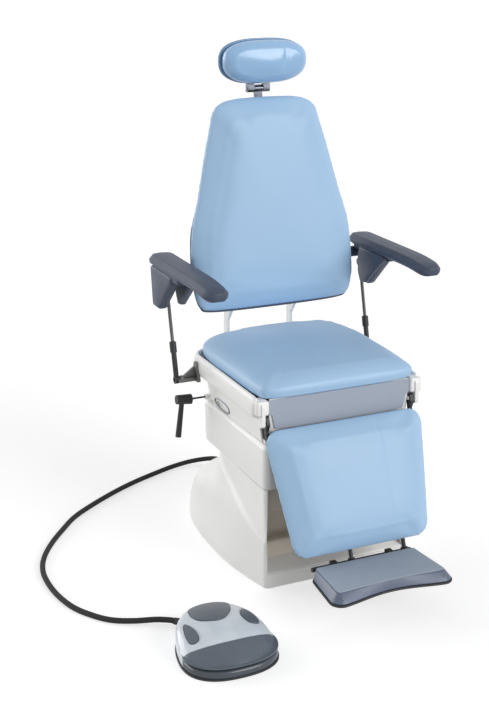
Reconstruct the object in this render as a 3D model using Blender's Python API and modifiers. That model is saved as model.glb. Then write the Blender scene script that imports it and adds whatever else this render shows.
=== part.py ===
"""Powered ear, nose and throat examination chair with a foot control.

The chair faces -Y and stands on the floor at Z = 0, with the lift column on the Z axis.
All sizes are metres.
"""

import math

import bmesh
import bpy
from mathutils import Matrix, Vector

# Clearances
TOUCH = 0.0003
RUNNING = 0.0004
WALL = 0.004
PAST_WALL = 0.05
SINK = 0.003

# Widths that follow the seat's
SEAT_HALF = 0.262
SEAT_FRONT_HALF = SEAT_HALF - 0.006
LIP_HALF = SEAT_HALF + 0.004
TUB_WAIST_HALF = LIP_HALF - 0.028
TUB_FOOT_HALF = TUB_WAIST_HALF - 0.012
UPPER_HALF = TUB_FOOT_HALF + 0.012
BRACKET_X = LIP_HALF - 0.019
EAR_X = BRACKET_X - 0.015
NOTCH_X = BRACKET_X - 0.024
APRON_HALF = EAR_X - 0.016
APRON_WIDE_HALF = BRACKET_X - 0.009
LEG_TOP_HALF = BRACKET_X + 0.009
LEG_BOTTOM_HALF = LEG_TOP_HALF - 0.037
LINK_X = LIP_HALF + 0.067
ARM_X = LINK_X + 0.013

# Floor plate and base cover
PLATE_THICKNESS = 0.012
PLATE_INSET = WALL + RUNNING
COVER_GAP = 0.002
BASE_FRONT = -0.266
BASE_FRONT_HALF = 0.236
BASE_MID_HALF = 0.271
BASE_REAR = 0.472
BASE_CORNER = 0.040
BASE_FULLNESS = 2.8
SHOULDER_HEIGHT = 0.225
SHOULDER_REAR = 0.225
SHOULDER_HALF = 0.240
NECK_HEIGHT = 0.311
NECK_FRONT_HALF = BASE_FRONT_HALF - 0.014
NECK_REAR = 0.165
RECESS_HALF = BASE_FRONT_HALF - 0.024
RECESS_SILL = 0.045
RECESS_DEPTH = 0.100

# Lift column
COLUMN_RADIUS = 0.085
COLUMN_WALL = 0.0095
COLUMN_TOP = 0.300
COLUMN_FLANGE = 0.125
FLANGE_THICKNESS = 0.010
RAM_WALL = 0.009
RAM_BOTTOM = 0.035
RAM_TOP = 0.335
RAM_FLANGE = 0.105
BEARING_HEIGHT = 0.008
BEARING_WIDTH = 0.025
BEARING_INSET = 0.006
TURNTABLE_RADIUS = 0.120
TURNTABLE_THICKNESS = 0.013
HUB_RADIUS = 0.055
HUB_CLEAR = 0.001
MOTOR_RADIUS = 0.034
MOTOR_HEIGHT = 0.150
GEARBOX_HEIGHT = 0.060

# Upper cover, which rises and turns with the seat
UPPER_BOTTOM = 0.3145
UPPER_TOP = 0.445
UPPER_FRONT = -0.268
UPPER_REAR = 0.185
UPPER_ROUND = 0.014
UPPER_SLOPE = 0.022
UPPER_SHOULDER = 0.045

# Seat tub, pan, board and cushion
TUB_FRONT = -0.262
TUB_REAR = 0.225
TUB_FOOT_SETBACK = 0.020
TUB_WAIST_SETBACK = 0.012
TUB_WAIST = 0.525
LIP_BOTTOM = 0.532
LIP_TOP = 0.5875
TUB_CORNER = 0.024
LIP_ROUND = 0.006
LOCK_SLOT_FRONT = 0.012
LOCK_SLOT_REAR = 0.100
LOCK_SLOT_HEIGHT = 0.016
TUB_FULLNESS = 9.0
PAN_THICKNESS = 0.006
BOARD_THICKNESS = 0.014
BOARD_INSET = 0.024
REST_HALF = 0.030
REST_SETBACK = 0.070
LUG_FOOT = 0.060
LUG_LAND = 0.007
SEAT_BOTTOM = 0.588
SEAT_FRONT = -0.286
SEAT_REAR = 0.262
SEAT_SIDE_HEIGHT = 0.053
SEAT_CROWN = 0.016

# Swivel lock lever on the left of the tub
LEVER_Y = 0.165
LEVER_Z = 0.456
LEVER_STUD_RADIUS = 0.003
LEVER_STUD_LENGTH = 0.046
LEVER_HEAD_RADIUS = 0.016
LEVER_HEAD_LENGTH = 0.048
LEVER_GRIP_LENGTH = 0.118
LEVER_GRIP_RADIUS = 0.0075
LEVER_BOSS_RADIUS = 0.009
LEVER_BOSS_LENGTH = 0.014
LEVER_BOSS_SINK = 0.0005

# Armrest linkage: seat hinge, arm pivot and link pivots make a parallelogram
ARM_PIVOT_Y = 0.260
ARM_PIVOT_Z = 0.840
LINK_FOOT_Y = 0.165
LINK_FOOT_Z = 0.525
LINK_RUN = 0.070
LINK_RISE = 0.285
LINK_EYE_RADIUS = 0.012
LINK_EYE_WIDTH = 0.014
LINK_PIN_RADIUS = 0.006
LINK_TUBE_RADIUS = 0.0080
LINK_TUBE_LENGTH = 0.118
LINK_COLLAR_RADIUS = 0.0105
LINK_COLLAR_LENGTH = 0.034
LINK_ROD_RADIUS = 0.0052
LINK_FOOT_THICKNESS = 0.006
LINK_FOOT_REACH = 0.034
LINK_SIDE_GAP = 0.0015
PIN_STANDOUT = 0.003
AXLE_RADIUS = 0.010
ARM_HALF = 0.037
ARM_FRONT = -0.190
ARM_REAR = 0.288
ARM_BOTTOM = 0.869
ARM_SIDE_HEIGHT = 0.026
ARM_CROWN = 0.005
CHEEK_THICKNESS = 0.026
CHEEK_BOTTOM = 0.745
CHEEK_REACH = 0.150
CHEEK_FOOT_FRONT = 0.030
CHEEK_FOOT_REAR = 0.016
CHEEK_REAR_INSET = 0.020
CHEEK_GAP = 0.005
CHEEK_ROUND = 0.007
ARM_PLATE_HALF = 0.028
ARM_PLATE_FRONT = 0.030
ARM_PLATE_INSET = 0.016
ARM_BOSS_REACH = 0.044
ARM_PLATE_THICKNESS = 0.016
ARM_BOSS_RADIUS = 0.017

# Recline hinge, carried by lugs on the seat pan
HINGE_Y = ARM_PIVOT_Y - LINK_RUN
HINGE_Z = ARM_PIVOT_Z - LINK_RISE
HINGE_RADIUS = 0.012
HINGE_HALF = 0.172
LUG_X = 0.150
LUG_THICKNESS = 0.010
SPINE_X = 0.110
SPINE_THICKNESS = 0.010
SPINE_WIDTH = 0.026
SPINE_DEPTH = 0.042
SPINE_ROOM = 0.012
SPINE_CLEAR = 0.018

# Backrest frame: bottom of the cushion outline, leaning back
BACK_Y = 0.146
BACK_Z = 0.728
BACK_LEAN = math.radians(9)
BACK_HEIGHT = 0.636
BACK_TOP_HALF = 0.171
BACK_WIDE_HALF = 0.278
BACK_WIDE_AT = 0.150
BACK_FOOT_HALF = 0.238
BACK_PAD_THICKNESS = 0.044
BACK_CROWN = 0.014
BACK_SHELL_THICKNESS = 0.020
BACK_SHELL_EDGE = 0.004
BACK_PLANE_DEPTH = 0.024

# Headrest
STEM_HALF = 0.013
STEM_THICKNESS = 0.008
STEM_LENGTH = 0.240
GUIDE_WALL = 0.007
GUIDE_LENGTH = 0.100
HEAD_PIVOT_ABOVE_BACK = 0.022
HEAD_HALF = 0.139
HEAD_HEIGHT = 0.133
HEAD_GAP = 0.006
HEAD_FORWARD = 0.024
HEAD_PAD_THICKNESS = 0.060
HEAD_CROWN = 0.010
HEAD_SHELL_THICKNESS = 0.014
LUG_HALF_SPAN = 0.037
BARREL_RADIUS = 0.011
BARREL_HALF = 0.014
HEAD_PIN_RADIUS = 0.005
HEAD_PLATE_THICKNESS = 0.006
GUIDE_DROP = 0.030

# Leg rest frame: hinge in front of the tub, leaning forward
LEG_Y = -0.262
LEG_Z = 0.525
LEG_LEAN = math.radians(22)
LEG_TOP = 0.019
LEG_BOTTOM = 0.405
LEG_CORNER = 0.048
LEG_BACK = 0.006
LEG_PAD_THICKNESS = 0.042
LEG_CROWN = 0.010
LEG_SHELL_THICKNESS = 0.008
LEG_SHELL_INSET = 0.010
LEG_TUBE_RADIUS = 0.008
LEG_RAIL_HALF = 0.165
LEG_EAR_END = 0.062
LEG_STEP = 0.060
LEG_BAR_INSET = 0.018
LEG_SPACING = 0.045
EAR_THICKNESS = 0.010
EAR_RADIUS = 0.013
LEG_PIN_RADIUS = 0.006
BRACKET_THICKNESS = 0.012
BRACKET_RADIUS = 0.016
NOTCH_DEPTH = 0.040
APRON_STEP = 0.543
APRON_TOP = 0.586
APRON_BOTTOM = 0.494
APRON_THICKNESS = 0.004

# Footrest
BAR_DOWN = 0.434
BAR_RADIUS = 0.007
BAR_HALF = 0.160
CLIP_X = 0.090
CLIP_WIDTH = 0.018
CLIP_REACH = 0.030
CLIP_ROOM = 0.004
FOOT_TILT = math.radians(1)
FOOT_REAR_HALF = 0.173
FOOT_FRONT_HALF = 0.195
FOOT_DEPTH = 0.200
FOOT_BODY_HEIGHT = 0.026
FOOT_RIM_HEIGHT = 0.007
FOOT_MAT_HEIGHT = 0.003
FOOT_CORNER = 0.034
FOOT_SLOPE = 0.014
FOOT_LEDGE = 0.003
FOOT_RISE = 0.012
FOOT_GAP = 0.002
POST_RADIUS = 0.006
POST_LEFT_X = -0.032
POST_RIGHT_X = 0.142
POST_EYE_RADIUS = 0.0115
POST_EYE_WIDTH = 0.016

# Foot control on the floor
CONTROL_X = -0.480
CONTROL_Y = -0.524
CONTROL_HALF = 0.128
CONTROL_HALF_DEPTH = 0.142
CONTROL_FULLNESS = 2.4
CONTROL_TAPER = 0.19
CONTROL_BASE_HEIGHT = 0.007
CONTROL_TOP = 0.091
PEDAL_SPLIT = -0.600
PEDAL_GAP = 0.0004
PEDAL_LIFT = 0.008
BUTTON_GAP = 0.0006
BUTTON_DEPTH = 0.016
BUTTON_TRAVEL = 0.003

# Foot control cord, from the gland on the base to the relief on the control
CORD_RADIUS = 0.0085
GLAND_X = -0.010
GLAND_Z = 0.046
GLAND_RADIUS = 0.0150
GLAND_FLANGE = 0.0210
GLAND_LENGTH = 0.026
GLAND_NECK = 0.012
RELIEF_START = (-0.520, -0.3920, 0.0220)
RELIEF_END = (-0.552, -0.3560, 0.0195)
RELIEF_RADIUS = 0.0125
CORD_POINTS = (
    (-0.010, 0.560, 0.046),
    (-0.022, 0.628, 0.034),
    (-0.080, 0.676, 0.016),
    (-0.155, 0.674, 0.0090),
    (-0.235, 0.643, 0.0088),
    (-0.320, 0.605, 0.0088),
    (-0.410, 0.555, 0.0088),
    (-0.510, 0.488, 0.0088),
    (-0.598, 0.418, 0.0088),
    (-0.664, 0.340, 0.0088),
    (-0.718, 0.268, 0.0088),
    (-0.762, 0.195, 0.0088),
    (-0.790, 0.125, 0.0088),
    (-0.803, 0.050, 0.0088),
    (-0.801, -0.050, 0.0088),
    (-0.781, -0.145, 0.0088),
    (-0.746, -0.212, 0.0088),
    (-0.704, -0.262, 0.0090),
    (-0.650, -0.295, 0.0110),
    (-0.596, -0.320, 0.0155),
)
CORD_STEP = 0.040

SIDES = 20
ROUND_STEPS = 36
LEFT = -1
RIGHT = 1

LOOKS = {
    "upholstery": ((0.42, 0.61, 0.82), 0.45, 0.0),
    "gloss_upholstery": ((0.32, 0.54, 0.78), 0.22, 0.0),
    "apron": ((0.36, 0.42, 0.52), 0.6, 0.0),
    "white_cover": ((0.83, 0.83, 0.80), 0.38, 0.0),
    "white_metal": ((0.83, 0.83, 0.81), 0.35, 0.0),
    "slate_plastic": ((0.13, 0.15, 0.19), 0.4, 0.0),
    "light_mat": ((0.38, 0.44, 0.52), 0.5, 0.0),
    "dark_plastic": ((0.05, 0.055, 0.06), 0.45, 0.0),
    "black_metal": ((0.03, 0.03, 0.033), 0.4, 0.3),
    "grey_plastic": ((0.60, 0.66, 0.73), 0.35, 0.0),
    "chrome": ((0.75, 0.76, 0.78), 0.12, 1.0),
    "steel": ((0.45, 0.46, 0.48), 0.35, 1.0),
    "dark_steel": ((0.10, 0.10, 0.11), 0.45, 0.8),
    "plywood": ((0.45, 0.31, 0.18), 0.7, 0.0),
    "cord_rubber": ((0.02, 0.02, 0.02), 0.5, 0.0),
}


def clear_scene():
    for obj in list(bpy.data.objects):
        bpy.data.objects.remove(obj, do_unlink=True)


def new_collection(name):
    collection = bpy.data.collections.new(name)
    bpy.context.scene.collection.children.link(collection)
    return collection


def material(name):
    found = bpy.data.materials.get(name)
    if found:
        return found
    colour, roughness, metallic = LOOKS[name]
    made = bpy.data.materials.new(name)
    made.use_nodes = True
    shader = made.node_tree.nodes["Principled BSDF"]
    shader.inputs["Base Color"].default_value = (*colour, 1)
    shader.inputs["Roughness"].default_value = roughness
    shader.inputs["Metallic"].default_value = metallic
    made.diffuse_color = (*colour, 1)
    return made


clear_scene()
CHAIR = new_collection("ent_chair")
CUTTERS = new_collection("ent_chair_cutters")
CUTTERS.hide_render = True


# Frames and objects


def frame(name, location, parent=None, tilt=0.0):
    """An empty on a joint axis; tilt turns its local axes about X."""
    empty = bpy.data.objects.new(name, None)
    empty.empty_display_size = 0.05
    empty.location = location
    empty.rotation_euler = (tilt, 0, 0)
    empty.parent = parent
    CHAIR.objects.link(empty)
    return empty


def place(name, mesh, look, parent=None):
    """A named part in its parent's frame, or a hidden cutter where look is None."""
    obj = bpy.data.objects.new(name, mesh)
    obj.parent = parent
    if look is None:
        obj.hide_render = True
        obj.display_type = "WIRE"
        CUTTERS.objects.link(obj)
        return obj
    mesh.materials.append(material(look))
    mesh.shade_smooth()
    mesh.set_sharp_from_angle(angle=math.radians(35))
    CHAIR.objects.link(obj)
    return obj


def mesh_from(name, bm):
    bmesh.ops.remove_doubles(bm, verts=bm.verts, dist=1e-6)
    bmesh.ops.recalc_face_normals(bm, faces=bm.faces)
    mesh = bpy.data.meshes.new(name)
    bm.to_mesh(mesh)
    bm.free()
    return mesh


def boolean(obj, operation, *others):
    for other in others:
        modifier = obj.modifiers.new(f"{operation.lower()}_{other.name}", "BOOLEAN")
        modifier.operation = operation
        modifier.object = other
        modifier.solver = "EXACT"
    return obj


def cut(obj, *cutters):
    return boolean(obj, "DIFFERENCE", *cutters)


def join(obj, *others):
    return boolean(obj, "UNION", *others)


def bevel(obj, width, segments=2, angle=40):
    modifier = obj.modifiers.new("bevel", "BEVEL")
    modifier.width = width
    modifier.segments = segments
    modifier.limit_method = "ANGLE"
    modifier.angle_limit = math.radians(angle)
    return obj


# Basic shapes


def block(name, low, high, look, parent=None):
    """A box between two corners."""
    low = Vector(low)
    high = Vector(high)
    bm = bmesh.new()
    bmesh.ops.create_cube(bm, size=1)
    bmesh.ops.scale(bm, vec=high - low, verts=bm.verts)
    bmesh.ops.translate(bm, vec=(low + high) / 2, verts=bm.verts)
    return place(name, mesh_from(name, bm), look, parent)


def rod(name, radius, start, end, look, parent=None, end_radius=None, sides=SIDES):
    """A round bar, or a cone, between two points."""
    start = Vector(start)
    end = Vector(end)
    along = end - start
    turn = along.to_track_quat("Z", "Y").to_matrix().to_4x4()
    bm = bmesh.new()
    bmesh.ops.create_cone(
        bm,
        cap_ends=True,
        segments=sides,
        radius1=radius,
        radius2=radius if end_radius is None else end_radius,
        depth=along.length,
        matrix=Matrix.Translation((start + end) / 2) @ turn,
    )
    return place(name, mesh_from(name, bm), look, parent)


def across(name, radius, x0, x1, y, z, look, parent=None, sides=SIDES):
    """A round bar along X."""
    return rod(name, radius, (x0, y, z), (x1, y, z), look, parent, sides=sides)


def turned(name, profile, look, parent=None, steps=ROUND_STEPS):
    """A closed profile of (radius, height), listed down its outer side, turned about Z."""
    bm = bmesh.new()
    points = [bm.verts.new((radius, 0, height)) for radius, height in profile]
    for first, second in zip(points, points[1:] + points[:1]):
        bm.edges.new((first, second))
    mesh = bpy.data.meshes.new(name)
    bm.to_mesh(mesh)
    bm.free()
    obj = place(name, mesh, look, parent)
    screw = obj.modifiers.new("turn", "SCREW")
    screw.steps = steps
    screw.render_steps = steps
    screw.use_merge_vertices = True
    screw.merge_threshold = 1e-5
    return obj


def side_plate(name, outline, x0, x1, look, parent=None):
    """A flat outline of (y, z) points, as thick as the way from x0 to x1."""
    curve = bpy.data.curves.new(name, "CURVE")
    curve.dimensions = "2D"
    curve.fill_mode = "BOTH"
    curve.extrude = abs(x1 - x0) / 2
    spline = curve.splines.new("POLY")
    spline.points.add(len(outline) - 1)
    for point, (y, z) in zip(spline.points, outline):
        point.co = (y, z, 0, 1)
    spline.use_cyclic_u = True
    guide = bpy.data.objects.new(name + "_outline", curve)
    CUTTERS.objects.link(guide)
    mesh = bpy.data.meshes.new_from_object(guide.evaluated_get(bpy.context.evaluated_depsgraph_get()))
    bpy.data.objects.remove(guide)
    bm = bmesh.new()
    bm.from_mesh(mesh)
    stand_up = Matrix(((0, 0, 1, (x0 + x1) / 2), (1, 0, 0, 0), (0, 1, 0, 0), (0, 0, 0, 1)))
    bmesh.ops.transform(bm, matrix=stand_up, verts=bm.verts)
    return place(name, mesh_from(name, bm), look, parent)


def tube(name, points, radius, look, parent=None, resolution=2, cyclic=False):
    """A round tube along a polyline, turned into a closed mesh."""
    curve = bpy.data.curves.new(name, "CURVE")
    curve.dimensions = "3D"
    curve.bevel_depth = radius
    curve.bevel_resolution = resolution
    curve.use_fill_caps = not cyclic
    spline = curve.splines.new("POLY")
    spline.points.add(len(points) - 1)
    for point, position in zip(spline.points, points):
        point.co = (*position, 1)
    spline.use_cyclic_u = cyclic
    guide = bpy.data.objects.new(name + "_path", curve)
    CUTTERS.objects.link(guide)
    mesh = bpy.data.meshes.new_from_object(guide.evaluated_get(bpy.context.evaluated_depsgraph_get()))
    bpy.data.objects.remove(guide)
    bm = bmesh.new()
    bm.from_mesh(mesh)
    return place(name, mesh_from(name, bm), look, parent)


def loft(name, rings, look, parent=None):
    """A closed skin through rings of equal length, capped at both ends."""
    bm = bmesh.new()
    rows = [[bm.verts.new(point) for point in ring] for ring in rings]
    for low, high in zip(rows, rows[1:]):
        for i in range(len(low)):
            j = (i + 1) % len(low)
            bm.faces.new((low[i], low[j], high[j], high[i]))
    for row in (rows[0], rows[-1]):
        if len(row) > 2:
            bm.faces.new(row)
    return place(name, mesh_from(name, bm), look, parent)


# Outlines


def rounded(corners, radius, steps=5):
    """A closed outline with each corner of the polygon replaced by an arc."""
    points = []
    for i, corner in enumerate(corners):
        here = Vector(corner)
        back = (Vector(corners[i - 1]) - here).normalized()
        ahead = (Vector(corners[(i + 1) % len(corners)]) - here).normalized()
        half = back.angle(ahead) / 2
        centre = here + (back + ahead).normalized() * (radius / math.sin(half))
        start = here + back * (radius / math.tan(half))
        sweep = (math.pi - 2 * half) * (1 if back.cross(ahead) < 0 else -1)
        for k in range(steps + 1):
            spoke = Matrix.Rotation(sweep * k / steps, 2) @ (start - centre)
            points.append(centre + spoke)
    return points


def evened(points, spacing):
    """The closed outline with points added so that no side is longer than spacing."""
    dense = []
    for first, second in zip(points, points[1:] + points[:1]):
        first = Vector(first)
        second = Vector(second)
        count = max(1, math.ceil((second - first).length / spacing))
        dense += [first.lerp(second, k / count) for k in range(count)]
    return dense


def catmull(points, per_span, closed=True):
    """Points along a smooth curve through the given ones."""
    points = [Vector(point) for point in points]
    if closed:
        padded = points[-1:] + points + points[:2]
    else:
        padded = [2 * points[0] - points[1]] + points + [2 * points[-1] - points[-2]]
    curve = []
    for a, b, c, d in zip(padded, padded[1:], padded[2:], padded[3:]):
        for k in range(per_span):
            t = k / per_span
            curve.append(
                0.5 * (2 * b + (c - a) * t + (2 * a - 5 * b + 4 * c - d) * t * t)
                + 0.5 * (3 * b - a - 3 * c + d) * t * t * t
            )
    if not closed:
        curve.append(points[-1])
    return curve


def mirrored(half):
    """A closed outline from its right half, which starts and ends on the centre line."""
    return list(half) + [(-x, v) for x, v in reversed(half[1:-1])]


def superellipse(half_width, half_depth, fullness, count):
    """A closed oval; a higher fullness makes it squarer."""
    points = []
    for k in range(count):
        angle = 2 * math.pi * k / count
        c = math.cos(angle)
        s = math.sin(angle)
        points.append(
            Vector(
                (
                    half_width * math.copysign(abs(c) ** (2 / fullness), c),
                    half_depth * math.copysign(abs(s) ** (2 / fullness), s),
                )
            )
        )
    return points


def inset(outline, distance):
    """The closed outline moved inwards along its own normals."""
    count = len(outline)
    area = sum(outline[i - 1].cross(outline[i]) for i in range(count))
    turn = 1 if area > 0 else -1
    moved = []
    for i, point in enumerate(outline):
        along = (outline[(i + 1) % count] - outline[i - 1]).normalized()
        moved.append(point + distance * turn * Vector((-along.y, along.x)))
    return moved


def plan_ring(z, front_half, mid_half, front, rear, corner, fullness, mid=0.0):
    """A plan outline with a straight front, rounded corners and an oval rear."""
    half = []
    for k in range(5):
        angle = math.pi / 2 * k / 4
        x = front_half - corner + corner * math.sin(angle)
        y = front + corner - corner * math.cos(angle)
        half.append((x, y))
    start = front + corner
    for k in range(1, 5):
        share = k / 4
        x = front_half + (mid_half - front_half) * math.sin(math.pi / 2 * share)
        half.append((x, start + (mid - start) * share))
    for k in range(1, 11):
        angle = math.pi / 2 * k / 10
        x = mid_half * max(0.0, math.cos(angle)) ** (2 / fullness)
        y = mid + (rear - mid) * math.sin(angle) ** (2 / fullness)
        half.append((x, y))
    half[-1] = (0.0, rear)
    both = half + [(-x, y) for x, y in reversed(half[:-1])]
    return [Vector((x, y, z)) for x, y in both]


def cushion(name, outline, lay, side, crown, look, parent=None, draw=0.012, roll=0.020):
    """A padded form over an outline: drawn-in foot, rolled edge and a crown towards its centre.

    lay(u, v, h) puts the outline's u and v and the height h into the frame.
    """
    centre = sum(outline, Vector((0, 0))) / len(outline)
    steps = (
        (draw, 0.0),
        (draw * 0.45, side * 0.14),
        (0.0, side * 0.42),
        (roll * 0.10, side * 0.66),
        (roll * 0.42, side * 0.87),
        (roll, side),
    )
    rings = [[lay(u, v, h) for u, v in inset(outline, distance)] for distance, h in steps]
    rim = inset(outline, roll)
    for share in (0.80, 0.52, 0.24):
        height = side + crown * (1 - share * share)
        rings.append([lay(*centre.lerp(point, share), height) for point in rim])
    return loft(name, rings, look, parent)


def flat_up(u, v, h):
    return Vector((u, v, h))


def facing_front(u, v, h):
    return Vector((u, -h, v))


def lifted(lay, offset):
    """The same layout with its height measured from an offset."""

    def moved(u, v, h):
        return lay(u, v, h + offset)

    return moved


# Base: floor plate, cover and lift column


def base_rings(wall, low, high):
    """Plan outlines of the base cover at rising heights, inset by a wall."""
    tail = BASE_REAR - SHOULDER_REAR
    belly = BASE_MID_HALF - SHOULDER_HALF
    stations = (
        (low, 0.0, 0.0),
        (SHOULDER_HEIGHT * 0.16, 0.0, 0.0),
        (SHOULDER_HEIGHT * 0.36, 0.08, 0.07),
        (SHOULDER_HEIGHT * 0.58, 0.22, 0.24),
        (SHOULDER_HEIGHT * 0.80, 0.52, 0.56),
        (SHOULDER_HEIGHT, 1.0, 1.0),
    )
    rings = []
    for z, narrowing, shortening in stations:
        rings.append(
            plan_ring(
                z,
                BASE_FRONT_HALF - wall,
                BASE_MID_HALF - belly * narrowing - wall,
                BASE_FRONT + wall,
                BASE_REAR - tail * shortening - wall,
                BASE_CORNER - wall,
                BASE_FULLNESS,
            )
        )
    setback = BASE_FRONT_HALF - NECK_FRONT_HALF
    for share in (0.35, 1.0):
        rings.append(
            plan_ring(
                SHOULDER_HEIGHT + (high - SHOULDER_HEIGHT) * share,
                BASE_FRONT_HALF - setback * share - wall,
                SHOULDER_HALF - (SHOULDER_HALF - NECK_FRONT_HALF) * share - wall,
                BASE_FRONT + setback * share + wall,
                SHOULDER_REAR - (SHOULDER_REAR - NECK_REAR) * share - wall,
                BASE_CORNER - wall,
                BASE_FULLNESS,
            )
        )
    return rings


def recess(name, grow):
    """The hollow in the front of the base, grown by a wall."""
    return block(
        name,
        (-RECESS_HALF - grow, BASE_FRONT - PAST_WALL, RECESS_SILL - grow),
        (RECESS_HALF + grow, BASE_FRONT + RECESS_DEPTH + grow, NECK_HEIGHT + PAST_WALL),
        None,
    )


def build_base():
    plate = plan_ring(
        0.0,
        BASE_FRONT_HALF - PLATE_INSET,
        BASE_MID_HALF - PLATE_INSET,
        BASE_FRONT + PLATE_INSET,
        BASE_REAR - PLATE_INSET,
        BASE_CORNER - PLATE_INSET,
        BASE_FULLNESS,
    )
    top = [point + Vector((0, 0, PLATE_THICKNESS)) for point in plate]
    loft("base_plate", [plate, top], "dark_steel")

    cover = loft("base_cover", base_rings(0.0, COVER_GAP, NECK_HEIGHT), "white_cover")
    hollow = loft("base_hollow", base_rings(WALL, -PAST_WALL, NECK_HEIGHT - WALL), None)
    cut(hollow, recess("recess_wall", WALL))
    column_hole = rod(
        "column_hole",
        COLUMN_RADIUS + WALL,
        (0, 0, NECK_HEIGHT - PAST_WALL),
        (0, 0, NECK_HEIGHT + PAST_WALL),
        None,
        sides=ROUND_STEPS,
    )
    gland_hole = rod(
        "gland_hole",
        GLAND_RADIUS + TOUCH,
        (GLAND_X, BASE_REAR - PAST_WALL, GLAND_Z),
        (GLAND_X, BASE_REAR + PAST_WALL, GLAND_Z),
        None,
    )
    cut(cover, recess("recess_front", 0.0), hollow, column_hole, gland_hole)

    floor = PLATE_THICKNESS + TOUCH
    bore = COLUMN_RADIUS - COLUMN_WALL
    turned(
        "lift_column",
        (
            (bore, COLUMN_TOP),
            (COLUMN_RADIUS, COLUMN_TOP),
            (COLUMN_RADIUS, floor + FLANGE_THICKNESS),
            (COLUMN_FLANGE, floor + FLANGE_THICKNESS),
            (COLUMN_FLANGE, floor),
            (bore, floor),
        ),
        "steel",
    )
    motor_y = COLUMN_FLANGE + MOTOR_RADIUS + RUNNING
    motor = rod(
        "lift_motor",
        MOTOR_RADIUS,
        (0, motor_y, floor + GEARBOX_HEIGHT / 2),
        (0, motor_y, floor + MOTOR_HEIGHT),
        "dark_steel",
    )
    gearbox = block(
        "gearbox",
        (-MOTOR_RADIUS, motor_y - MOTOR_RADIUS, floor),
        (MOTOR_RADIUS, motor_y + MOTOR_RADIUS, floor + GEARBOX_HEIGHT),
        None,
    )
    join(motor, gearbox)

    start = -WALL - GLAND_NECK - GLAND_LENGTH
    flange = TOUCH - GLAND_LENGTH
    gland = turned(
        "cord_gland",
        (
            (CORD_RADIUS * 1.05, 0.0),
            (GLAND_RADIUS * 0.8, 0.0),
            (GLAND_FLANGE, -GLAND_LENGTH * 0.6),
            (GLAND_FLANGE, flange),
            (GLAND_RADIUS, flange),
            (GLAND_RADIUS, start),
            (CORD_RADIUS * 1.05, start),
        ),
        "dark_plastic",
        steps=SIDES,
    )
    gland.location = (GLAND_X, BASE_REAR + GLAND_LENGTH, GLAND_Z)
    gland.rotation_euler = (-math.pi / 2, 0, 0)


def build_lift():
    lift = frame("lift", (0, 0, 0))
    outer = COLUMN_RADIUS - COLUMN_WALL - RUNNING
    flange_top = RAM_TOP + FLANGE_THICKNESS
    turned(
        "lift_ram",
        (
            (outer - RAM_WALL, flange_top),
            (RAM_FLANGE, flange_top),
            (RAM_FLANGE, RAM_TOP),
            (outer, RAM_TOP),
            (outer, RAM_BOTTOM),
            (outer - RAM_WALL, RAM_BOTTOM),
        ),
        "steel",
        lift,
    )
    ring_bottom = flange_top + TOUCH
    ring_outer = RAM_FLANGE - BEARING_INSET
    turned(
        "swivel_bearing",
        (
            (ring_outer - BEARING_WIDTH, ring_bottom + BEARING_HEIGHT),
            (ring_outer, ring_bottom + BEARING_HEIGHT),
            (ring_outer, ring_bottom),
            (ring_outer - BEARING_WIDTH, ring_bottom),
        ),
        "steel",
        lift,
    )
    return lift


# Seat body: turntable, covers, pan, cushion and brackets


def rounded_box_rings(stations, front, corner):
    """Plan outlines of a squarish cover from (height, half width, rear) stations."""
    return [
        plan_ring(z, half, half, front, rear, corner, TUB_FULLNESS)
        for z, half, rear in stations
    ]


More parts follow.
